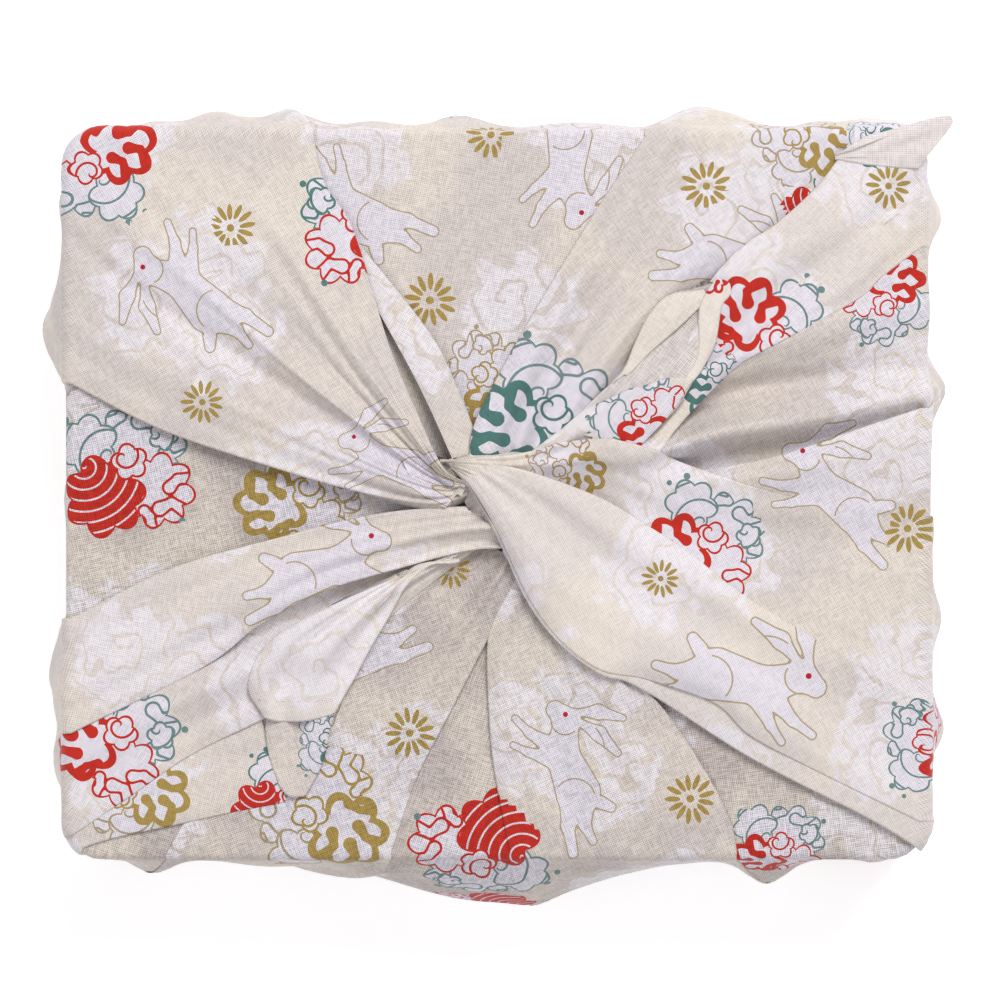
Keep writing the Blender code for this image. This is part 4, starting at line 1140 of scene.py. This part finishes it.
# %% The roundel of waves
CREST_PITCH = 2.5
CURL_COLUMNS = ("centre", "eye", "radius", "turn", "pitch", "lobes", "colour", "inked")
ROUNDEL = [
    ((4.0, 4.2), (-1.6, 9.4), 10.6, 0.3, 6.2, 4.5, 1, 0.0),
    ((-7.4, 6.4), (-2.6, 3.8), 6.8, 1.2, -4.8, 3.0, 1, 0.12),
    ((7.4, -5.2), (1.8, 0.4), 8.4, 2.2, 5.2, 4.0, 0, 0.0),
    ((-4.8, -5.4), (-8.4, 1.8), 9.2, 4.0, CREST_PITCH, 3.5, 0, None),
    ((1.6, 1.8), (0.4, 3.0), 4.2, 5.2, -3.6, 2.5, 0, 0.17),
    ((9.8, 7.0), (8.4, 7.8), 3.4, 0.8, 3.4, 2.5, 1, 0.18),
]
CURL_OUTLINE = 0.6
# The crest is solid with thin pale lines, or, where it is bold, pale with a thick edge and hooks.
CREST_INKED = (0.83, 0.0)
CREST_EDGE = (CURL_OUTLINE, 2.0)
CREST_HOOKS = [
    ((-8.6, 1.4), (-6.8, -2.0), 1.5, 0.9),
    ((-6.8, -2.0), (-3.9, -2.2), 0.8, 1.5),
    ((-12.6, -3.2), (-10.2, -6.2), 1.7, 0.9),
    ((-10.2, -6.2), (-7.3, -5.6), 0.8, 1.6),
    ((-8.8, -12.4), (-6.6, -9.4), 1.6, 0.9),
    ((-6.6, -9.4), (-3.7, -8.4), 0.8, 1.5),
    ((-0.8, -12.6), (-0.2, -9.4), 1.5, 0.8),
    ((-0.2, -9.4), (1.8, -7.4), 0.7, 1.3),
]
# The pale curls have hooks too, drawn as lines: two for each disc.
LINED_HOOKS = {
    0: [
        ((10.4, 14.0), (7.4, 10.2), 1.6, 1.1),
        ((7.4, 10.2), (4.6, 10.8), 1.1, 1.8),
        ((1.4, 16.0), (0.6, 12.2), 1.5, 1.0),
        ((0.6, 12.2), (-2.2, 11.0), 1.0, 1.5),
        ((15.4, 2.4), (11.4, 1.6), 1.5, 1.1),
        ((11.4, 1.6), (9.8, 3.2), 1.0, 1.4),
    ],
    2: [
        ((14.0, -11.0), (10.4, -8.2), 1.6, 1.1),
        ((10.4, -8.2), (7.6, -9.4), 1.0, 1.7),
        ((16.2, -3.2), (12.2, -3.0), 1.5, 1.1),
        ((12.2, -3.0), (10.2, -4.8), 1.0, 1.5),
        ((5.4, -14.4), (5.2, -11.0), 1.4, 1.0),
        ((5.2, -11.0), (4.0, -9.6), 1.0, 1.3),
    ],
}
HOOK_BLEND = 0.9
# Drops of spray round the roundel, each with its radius.
DROPS = [((-12.2, 12.4), 0.9), ((-15.4, 8.6), 0.7), ((13.4, 11.6), 0.8), ((12.4, -12.6), 0.8)]

roundel, given, result = new_group(
    "roundel_of_waves",
    {"Place": "V", "Main": "C", "Second": "C", "Pale": "C", "Bold": "F"},
    {"Colour": "C", "Inside": "F"},
)
thick = add_node(roundel, MIX, {0: given["Bold"], 2: -CREST_EDGE[0], 3: -CREST_EDGE[1]})
crest_inked = add_node(roundel, MIX, {0: given["Bold"], 2: CREST_INKED[0], 3: CREST_INKED[1]})
colour, covered = given["Pale"], None
for number, row in enumerate(as_rows(CURL_COLUMNS, ROUNDEL)):
    crest = row["inked"] is None
    disc = add_node(roundel, GROUP, node_tree=curl)
    roundel.links.new(given["Place"], disc.inputs["Place"])
    disc.inputs["Centre"].default_value = (*row["centre"], 0)
    disc.inputs["Eye"].default_value = (*row["eye"], 0)
    for socket in ("Radius", "Turn", "Pitch", "Lobes"):
        disc.inputs[socket].default_value = row[socket.lower()]
    share = crest_inked if crest else row["inked"]
    inside = add_node(roundel, MATH, {0: disc.outputs["Distance"], 1: 0.0}, operation="LESS_THAN")
    at_edge = {0: disc.outputs["Distance"], 1: thick if crest else -CURL_OUTLINE}
    line = add_node(roundel, MATH, at_edge, operation="GREATER_THAN")
    if crest:
        hooks = joined_limbs(roundel, given["Place"], CREST_HOOKS, HOOK_BLEND)
        hooks = add_node(roundel, MATH, {0: hooks, 1: 0.0}, operation="LESS_THAN")
        hooks = add_node(roundel, MATH, {0: hooks, 1: given["Bold"]}, operation="MULTIPLY")
        line = add_node(roundel, MATH, {0: line, 1: hooks}, operation="MAXIMUM")
    if number in LINED_HOOKS:
        hooks = joined_limbs(roundel, given["Place"], LINED_HOOKS[number], HOOK_BLEND)
        lined = {0: hooks, 1: 0.0, 2: CURL_OUTLINE / 2}
        hooks = add_node(roundel, MATH, lined, operation="COMPARE")
        line = add_node(roundel, MATH, {0: line, 1: hooks}, operation="MAXIMUM")
    ink = add_node(roundel, MATH, {0: disc.outputs["Spiral"], 1: share}, operation="LESS_THAN")
    inked = add_node(roundel, MATH, {0: line, 1: ink}, operation="MAXIMUM")
    source = given["Second"] if row["colour"] else given["Main"]
    tones = {"Factor": inked, 6: given["Pale"], 7: source}
    tone = add_node(roundel, MIX, tones, data_type="RGBA").outputs[2]
    laid = {"Factor": inside, 6: colour, 7: tone}
    colour = add_node(roundel, MIX, laid, data_type="RGBA").outputs[2]
    both = {0: covered, 1: inside}
    covered = inside if covered is None else add_node(roundel, MATH, both, operation="MAXIMUM")
for centre, radius in DROPS:
    gap = add_node(roundel, VECTOR_MATH, {0: given["Place"], 1: (*centre, 0)}, operation="DISTANCE")
    inside = add_node(roundel, MATH, {0: gap.outputs["Value"], 1: radius}, operation="LESS_THAN")
    laid = {"Factor": inside, 6: colour, 7: given["Second"]}
    colour = add_node(roundel, MIX, laid, data_type="RGBA").outputs[2]
    covered = add_node(roundel, MATH, {0: covered, 1: inside}, operation="MAXIMUM")
roundel.links.new(colour, result["Colour"])
roundel.links.new(covered.outputs[0], result["Inside"])

# %% [markdown]
# The small flower is a ring of separate petals with a dot in the middle. The angle round the centre
# is cut into equal parts, so one petal serves for all.

# %% The flower
PETALS = 13
PETAL_MIDDLE = 4.3
PETAL_HALF = (2.0, 0.66)
flower, given, result = new_group("small_flower", {"Place": "V"}, {"Inside": "F"})
length = add_node(flower, VECTOR_MATH, {0: given["Place"]}, operation="LENGTH").outputs["Value"]
split = add_node(flower, SEPARATE, {0: given["Place"]})
angle = add_node(flower, MATH, {0: split.outputs["Y"], 1: split.outputs["X"]}, operation="ARCTAN2")
counted = add_node(flower, MATH, {0: angle, 1: PETALS / (2 * math.pi), 2: 20.5}, operation="MULTIPLY_ADD")
petal = add_node(flower, MATH, {0: counted}, operation="FRACT")
aside = add_node(flower, MATH, {0: petal, 1: 0.5}, operation="SUBTRACT")
widened = add_node(flower, MATH, {0: aside, 1: length}, operation="MULTIPLY")
lateral = add_node(
    flower, MATH, {0: widened, 1: 2 * math.pi / PETALS / PETAL_HALF[1]}, operation="MULTIPLY"
)
uneven = add_node(flower, MATH, {0: angle, 1: 3.0}, operation="MULTIPLY")
wobble = add_node(flower, MATH, {0: uneven}, operation="SINE")
middle = add_node(flower, MATH, {0: wobble, 1: 0.3, 2: PETAL_MIDDLE}, operation="MULTIPLY_ADD")
radial = add_node(flower, MATH, {0: length, 1: middle}, operation="SUBTRACT")
scaled = add_node(flower, MATH, {0: radial, 1: PETAL_HALF[0]}, operation="DIVIDE")
inside = add_node(flower, "ShaderNodeCombineXYZ", {0: scaled, 1: lateral})
reach = add_node(flower, VECTOR_MATH, {0: inside}, operation="LENGTH").outputs["Value"]
petals = add_node(flower, MATH, {0: reach, 1: 1.0}, operation="LESS_THAN")
dot = add_node(flower, MATH, {0: length, 1: 0.95}, operation="LESS_THAN")
shown = add_node(flower, MATH, {0: petals, 1: dot}, operation="MAXIMUM")
flower.links.new(shown.outputs[0], result["Inside"])

# %% [markdown]
# Under the coloured motifs the ground is printed all over with large cloud shapes, in a white that
# hardly differs from the cream. They lie in a half-drop repeat: every second column of the repeat is
# moved by half its height. A noise pushes their edges about, so no two look quite alike.

# %% The pale clouds
REPEAT = (66.0, 58.0)
# How fine and how far the noise pushes the cloud's edges about, in millimetres.
CLOUD_WARP = (0.16, 9.0)
CLOUD = [
    ((-8.0, 6.0), (-12.0, 10.0), 15.0, 0.4, 6.4, 5.5, 0, 0.80),
    ((11.0, 9.0), (7.0, 3.0), 12.0, 2.0, -5.8, 4.5, 0, 0.78),
    ((4.0, -10.0), (10.0, -7.0), 14.0, 1.1, 6.4, 5.5, 0, 0.80),
]
clouds, given, result = new_group("pale_clouds", {"Place": "V"}, {"Inside": "F"})
split = add_node(clouds, SEPARATE, {0: given["Place"]})
column = add_node(clouds, MATH, {0: split.outputs["X"], 1: REPEAT[0]}, operation="DIVIDE")
number = add_node(clouds, MATH, {0: column}, operation="FLOOR")
across = add_node(clouds, MATH, {0: column}, operation="FRACT")
local_x = add_node(clouds, MATH, {0: across, 1: REPEAT[0], 2: -REPEAT[0] / 2}, operation="MULTIPLY_ADD")
lower = add_node(clouds, MATH, {0: split.outputs["Y"], 1: REPEAT[1]}, operation="DIVIDE")
dropped = add_node(clouds, MATH, {0: number, 1: 0.5, 2: lower}, operation="MULTIPLY_ADD")
up = add_node(clouds, MATH, {0: dropped}, operation="FRACT")
local_y = add_node(clouds, MATH, {0: up, 1: REPEAT[1], 2: -REPEAT[1] / 2}, operation="MULTIPLY_ADD")
local = add_node(clouds, "ShaderNodeCombineXYZ", {0: local_x, 1: local_y})
ragged = {"Vector": given["Place"], "Scale": CLOUD_WARP[0], "Detail": 0.5}
ragged = add_node(clouds, NOISE, ragged, noise_dimensions="2D")
pushed = add_node(clouds, VECTOR_MATH, {0: ragged.outputs["Color"], 1: (0.5, 0.5, 0.5)}, operation="SUBTRACT")
pushed = {0: pushed, 1: (CLOUD_WARP[1], CLOUD_WARP[1], 0.0), 2: local}
local = add_node(clouds, VECTOR_MATH, pushed, operation="MULTIPLY_ADD")
shown = None
for row in as_rows(CURL_COLUMNS, CLOUD):
    disc = add_node(clouds, GROUP, {"Place": local}, node_tree=curl)
    disc.inputs["Centre"].default_value = (*row["centre"], 0)
    disc.inputs["Eye"].default_value = (*row["eye"], 0)
    for socket in ("Radius", "Turn", "Pitch", "Lobes"):
        disc.inputs[socket].default_value = row[socket.lower()]
    soft_edge = {"Value": disc.outputs["Distance"], "From Min": 1.2, "From Max": -1.2}
    inside = add_node(clouds, MAP_RANGE, soft_edge)
    ink = add_node(clouds, MATH, {0: disc.outputs["Spiral"], 1: row["inked"]}, operation="LESS_THAN")
    start = {0: ink, 1: inside}
    over = {0: inside, 2: shown, 3: ink}
    if shown is None:
        shown = add_node(clouds, MATH, start, operation="MULTIPLY")
    else:
        shown = add_node(clouds, MIX, over)
clouds.links.new(shown.outputs[0], result["Inside"])

# %% [markdown]
# The finish puts the print and the weave together. Thin cotton lets the layer below show through, so
# where it lies singly over the bundle it is greyer and its mesh of threads is plainer to see. The
# same greying also paints shade into the deep wedges and over hollows, and the paler end paints light
# onto the north wedge. Print colours lie in the threads, and the gaps between threads stay as dark
# pinholes. Each finish draws only one kind of motif, which saves much time in rendering. The last one
# is the reverse, where the print shows through faintly.

# %% The cotton
THREAD_PITCH = 0.47
SLUB_SCALE = (0.3, 2.6)
SLUB_RANGE = (0.14, 0.38)
GAP_RANGE = (-0.6, 0.9)
# How dark the gaps and the uneven threads are: first at the attribute's low end, for a single layer and for painted
# shade, then at its high end, for a backed layer.
GAP_DEPTH = (0.62, 0.34)
STREAK_DEPTH = (0.34, 0.12)
FULL_LIGHT = 1.14
THREAD_RELIEF = 0.00006
DRIFT_SCALE = 0.035
DRIFT_RANGE = (0.42, 0.62)
CREAM_SHARE = 0.7
CLOUD_SHARE = 0.66
# The greyer ground is a single thin layer, partly painted shade in the deep wedges; the paler ground is backed
# cloth, and painted light on the north wedge.
GROUND_SINGLE_AND_SHADED = "#BBB0AA"
GROUND_BACKED_AND_LIT = "#D4CBC6"
GROUND_CREAM = "#D8CEC1"
CLOUD_WHITE = "#DDD9DF"
PRINT_WHITE = "#D3CDD4"
REVERSE_TONE = "#DDD6D5"
TAN_LINE = "#A8987A"
EYE_RED = "#A81A30"
FLOWER_GOLD = "#A08748"
MAIN_TONES = ("#B8281B", "#B8281B", "#A08748", "#4A716C", "#B8281B")
# The sets of colours from this one on have the bold crest.
FIRST_BOLD = 2
SECOND_TONES = ("#67807F", "#4F7771", "#A39273", "#6F8485", "#67807F")


def cotton_finish(name, kind, printed=1.0, reverse_mix=0.0):
    """Woven cotton with one kind of motif, shown by the share printed, and so much like its reverse."""
    finish = bpy.data.materials.new(name)
    finish.use_nodes = True
    tree = finish.node_tree
    cloth_uv = add_node(tree, "ShaderNodeUVMap", uv_map=CLOTH_COORDS)
    in_mm = add_node(tree, VECTOR_MATH, {0: cloth_uv, "Scale": 1000.0}, operation="SCALE")
    backed_and_shaded = add_node(tree, "ShaderNodeAttribute", attribute_name=BACKING_AND_SHADE).outputs["Fac"]

    # Painted shade and painted light: the backing attribute mixes the greyer and the paler ground.
    layers_and_shade = {0: backed_and_shaded, 6: linear(GROUND_SINGLE_AND_SHADED), 7: linear(GROUND_BACKED_AND_LIT)}
    ground = add_node(tree, MIX, layers_and_shade, data_type="RGBA")
    drift = add_node(
        tree, NOISE, {"Vector": in_mm, "Scale": DRIFT_SCALE, "Detail": 1.0}, noise_dimensions="2D"
    )
    creamy = {"Value": drift, "From Min": DRIFT_RANGE[0], "From Max": DRIFT_RANGE[1]}
    creamy["To Max"] = CREAM_SHARE * printed
    creamy = add_node(tree, MAP_RANGE, creamy)
    ground = add_node(
        tree, MIX, {0: creamy, 6: ground.outputs[2], 7: linear(GROUND_CREAM)}, data_type="RGBA"
    )
    cloud = add_node(tree, GROUP, {"Place": in_mm}, node_tree=clouds)
    faint = add_node(tree, MATH, {0: cloud, 1: CLOUD_SHARE * printed}, operation="MULTIPLY")
    colour = add_node(
        tree, MIX, {0: faint, 6: ground.outputs[2], 7: linear(CLOUD_WHITE)}, data_type="RGBA"
    )

    layers = []
    if kind:
        motif_uv = add_node(tree, "ShaderNodeUVMap", uv_map=MOTIF_COORDS)
        tile = add_node(tree, VECTOR_MATH, {0: motif_uv}, operation="FLOOR")
        within = add_node(tree, VECTOR_MATH, {0: motif_uv}, operation="FRACTION")
        centred = add_node(tree, VECTOR_MATH, {0: within, 1: (0.5, 0.5, 0)}, operation="SUBTRACT")
        place = add_node(tree, VECTOR_MATH, {0: centred, "Scale": TILE_SIDE}, operation="SCALE")
        numbers = add_node(tree, SEPARATE, {0: tile})
        same = {0: numbers.outputs["X"], 1: KINDS[kind]["tile"], 2: 0.5}
        here = add_node(tree, MATH, same, operation="COMPARE")
        chosen = add_node(tree, MATH, {0: here, 1: printed}, operation="MULTIPLY")
    if kind == "wave":
        share = 1 / len(MAIN_TONES)
        along = {0: numbers.outputs["Y"], 1: share, 2: share / 2}
        along = add_node(tree, MATH, along, operation="MULTIPLY_ADD")
        first = {0: numbers.outputs["Y"], 1: FIRST_BOLD - 0.5}
        bold = add_node(tree, MATH, first, operation="GREATER_THAN")
        tones = []
        for hexes in (MAIN_TONES, SECOND_TONES):
            ramp = add_node(tree, "ShaderNodeValToRGB", {0: along})
            ramp.color_ramp.interpolation = "CONSTANT"
            while len(ramp.color_ramp.elements) < len(hexes):
                ramp.color_ramp.elements.new(0.5)
            for k, tone in enumerate(hexes):
                ramp.color_ramp.elements[k].position = k / len(hexes)
                ramp.color_ramp.elements[k].color = linear(tone)
            tones.append(ramp.outputs["Color"])
        drawn = {"Place": place, "Main": tones[0], "Second": tones[1], "Bold": bold}
        water = add_node(tree, GROUP, node_tree=roundel)
        water.inputs["Pale"].default_value = linear(PRINT_WHITE)
        for socket, value in drawn.items():
            value = value.outputs[0] if isinstance(value, bpy.types.Node) else value
            tree.links.new(value, water.inputs[socket])
        layers = [(water.outputs["Inside"], water.outputs["Colour"])]
    if kind == "rabbit":
        hare = add_node(tree, GROUP, node_tree=rabbit)
        tree.links.new(place.outputs[0], hare.inputs["Place"])
        layers = [
            (hare.outputs["Inside"], linear(PRINT_WHITE)),
            (hare.outputs["Line"], linear(TAN_LINE)),
            (hare.outputs["Eye"], linear(EYE_RED)),
        ]
    if kind == "flower":
        bloom = add_node(tree, GROUP, node_tree=flower)
        tree.links.new(place.outputs[0], bloom.inputs["Place"])
        layers = [(bloom.outputs["Inside"], linear(FLOWER_GOLD))]
    for mask, tone in layers:
        shown = add_node(tree, MATH, {0: mask, 1: chosen}, operation="MULTIPLY")
        colour = add_node(tree, MIX, {0: shown, 6: colour.outputs[2], 7: tone}, data_type="RGBA")
    toned = {0: reverse_mix, 6: colour.outputs[2], 7: linear(REVERSE_TONE)}
    colour = add_node(tree, MIX, toned, data_type="RGBA")

    threads = add_node(
        tree, VECTOR_MATH, {0: in_mm, "Scale": 2 * math.pi / THREAD_PITCH}, operation="SCALE"
    )
    slubs = add_node(tree, "ShaderNodeMapping", {"Vector": in_mm, "Scale": (*SLUB_SCALE, 1.0)})
    warp_noise = add_node(tree, NOISE, {"Vector": slubs, "Scale": 1.0, "Detail": 1.0}, noise_dimensions="2D")
    slubs = add_node(tree, "ShaderNodeMapping", {"Vector": in_mm, "Scale": (*SLUB_SCALE[::-1], 1.0)})
    weft_noise = add_node(tree, NOISE, {"Vector": slubs, "Scale": 1.0, "Detail": 1.0}, noise_dimensions="2D")
    waved = add_node(tree, VECTOR_MATH, {0: threads}, operation="SINE")
    parts = add_node(tree, SEPARATE, {0: waved})
    gaps = add_node(tree, MATH, {0: parts.outputs["X"], 1: parts.outputs["Y"]}, operation="SMOOTH_MIN")
    gaps = {"Value": gaps, "From Min": GAP_RANGE[0], "From Max": GAP_RANGE[1]}
    gaps = add_node(tree, MAP_RANGE, gaps)
    slub = add_node(tree, MATH, {0: warp_noise, 1: weft_noise}, operation="MULTIPLY")
    uneven = {"Value": slub, "From Min": SLUB_RANGE[0], "From Max": SLUB_RANGE[1]}
    uneven = add_node(tree, MAP_RANGE, uneven)
    depth = {"Value": backed_and_shaded, "To Min": GAP_DEPTH[0], "To Max": GAP_DEPTH[1]}
    depth = add_node(tree, MAP_RANGE, depth)
    holes = add_node(tree, MATH, {0: gaps, 1: depth}, operation="MULTIPLY")
    streaky = {"Value": backed_and_shaded, "To Min": STREAK_DEPTH[0], "To Max": STREAK_DEPTH[1]}
    streaky = add_node(tree, MAP_RANGE, streaky)
    streak = add_node(tree, MATH, {0: uneven, 1: streaky}, operation="MULTIPLY")
    dark = add_node(tree, MATH, {0: holes, 1: streak}, operation="ADD")
    light = add_node(tree, MATH, {0: FULL_LIGHT, 1: dark}, operation="SUBTRACT")
    shaded = add_node(
        tree, VECTOR_MATH, {0: colour.outputs[2], "Scale": light}, operation="SCALE"
    )
    raised = add_node(tree, MATH, {0: gaps, 1: -1.0}, operation="MULTIPLY")
    relief = add_node(tree, "ShaderNodeBump", {"Height": raised, "Distance": THREAD_RELIEF, "Strength": 0.5})
    shader = tree.nodes["Principled BSDF"]
    tree.links.new(shaded.outputs[0], shader.inputs["Base Color"])
    tree.links.new(relief.outputs[0], shader.inputs["Normal"])
    shader.inputs["Roughness"].default_value = 0.88
    shader.inputs["Specular IOR Level"].default_value = 0.25
    shader.inputs["Sheen Weight"].default_value = 0.12
    return finish


cloth_mesh.materials.append(cotton_finish("woven_printed_cotton", None))
for kind in KINDS:
    cloth_mesh.materials.append(cotton_finish(f"cotton_printed_with_{kind}s", kind))
cloth_mesh.materials.append(cotton_finish("cotton_reverse", "wave", printed=0.35, reverse_mix=0.4))
print("finishes:", [finish.name for finish in cloth_mesh.materials])

# %% [markdown]
# The free ends show a narrow double-turned hem with a row of short running stitches. A small
# geometry node tree sets one stitch after the other along each hem line, so its pitch and size stay
# named inputs. The result is turned into a plain mesh.

# %% Stitches along the hems
STITCH_PITCH = 2.0
STITCH_SIZE = (0.26, 0.16, 1.3)
STITCH_LIFT = 0.05
SEWING_THREAD = "#DAD3CC"

thread = bpy.data.materials.new("spun_sewing_thread")
thread.use_nodes = True
thread_shader = thread.node_tree.nodes["Principled BSDF"]
thread_shader.inputs["Base Color"].default_value = linear(SEWING_THREAD)
thread_shader.inputs["Roughness"].default_value = 0.7
thread_shader.inputs["Sheen Weight"].default_value = 0.2

points, edges = [], []
for line in hem_lines:
    inner = (line[1:-1] + (SHIFT[0], SHIFT[1], STITCH_LIFT)) * MM
    edges += [(len(points) + k, len(points) + k + 1) for k in range(len(inner) - 1)]
    points += inner.tolist()
path_mesh = bpy.data.meshes.new("hem_lines")
path_mesh.from_pydata(points, edges, [])
stitches = bpy.data.objects.new("hem_stitches", path_mesh)
bpy.context.scene.collection.objects.link(stitches)

sewing = bpy.data.node_groups.new("stitches_along_lines", "GeometryNodeTree")
sewing.interface.new_socket("Lines", in_out="INPUT", socket_type="NodeSocketGeometry")
sewing.interface.new_socket("Pitch", in_out="INPUT", socket_type="NodeSocketFloat")
sewing.interface.new_socket("Stitch size", in_out="INPUT", socket_type="NodeSocketVector")
sewing.interface.new_socket("Stitches", in_out="OUTPUT", socket_type="NodeSocketGeometry")
given = sewing.nodes.new("NodeGroupInput").outputs
result = sewing.nodes.new("NodeGroupOutput").inputs
path = add_node(sewing, "GeometryNodeMeshToCurve", {"Mesh": given["Lines"]})
marks = {"Curve": path, "Length": given["Pitch"]}
marks = add_node(sewing, "GeometryNodeCurveToPoints", marks, mode="LENGTH")
grain = add_node(sewing, "GeometryNodeMeshUVSphere", {"Segments": 8, "Rings": 6, "Radius": 0.5})
sewn = add_node(
    sewing,
    "GeometryNodeInstanceOnPoints",
    {"Points": marks, "Instance": grain, "Rotation": marks.outputs["Rotation"], "Scale": given["Stitch size"]},
)
real = add_node(sewing, "GeometryNodeRealizeInstances", {"Geometry": sewn})
smooth = add_node(sewing, "GeometryNodeSetShadeSmooth", {"Geometry": real})
finished = add_node(sewing, "GeometryNodeSetMaterial", {"Geometry": smooth, "Material": thread})
sewing.links.new(finished.outputs[0], result["Stitches"])

row = stitches.modifiers.new("sewing", "NODES")
row.node_group = sewing
named = {item.name: item.identifier for item in sewing.interface.items_tree}
row[named["Pitch"]] = STITCH_PITCH * MM
row[named["Stitch size"]] = [side * MM for side in STITCH_SIZE]
evaluated = stitches.evaluated_get(bpy.context.evaluated_depsgraph_get())
sewn_mesh = bpy.data.meshes.new_from_object(evaluated)
stitches.modifiers.clear()
stitches.data = sewn_mesh
print("the hems have", len(sewn_mesh.polygons), "faces of stitches")

# %% Hand over
for piece in (cloth, stitches):
    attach(piece, "root")
    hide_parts("wrapped_cloth")
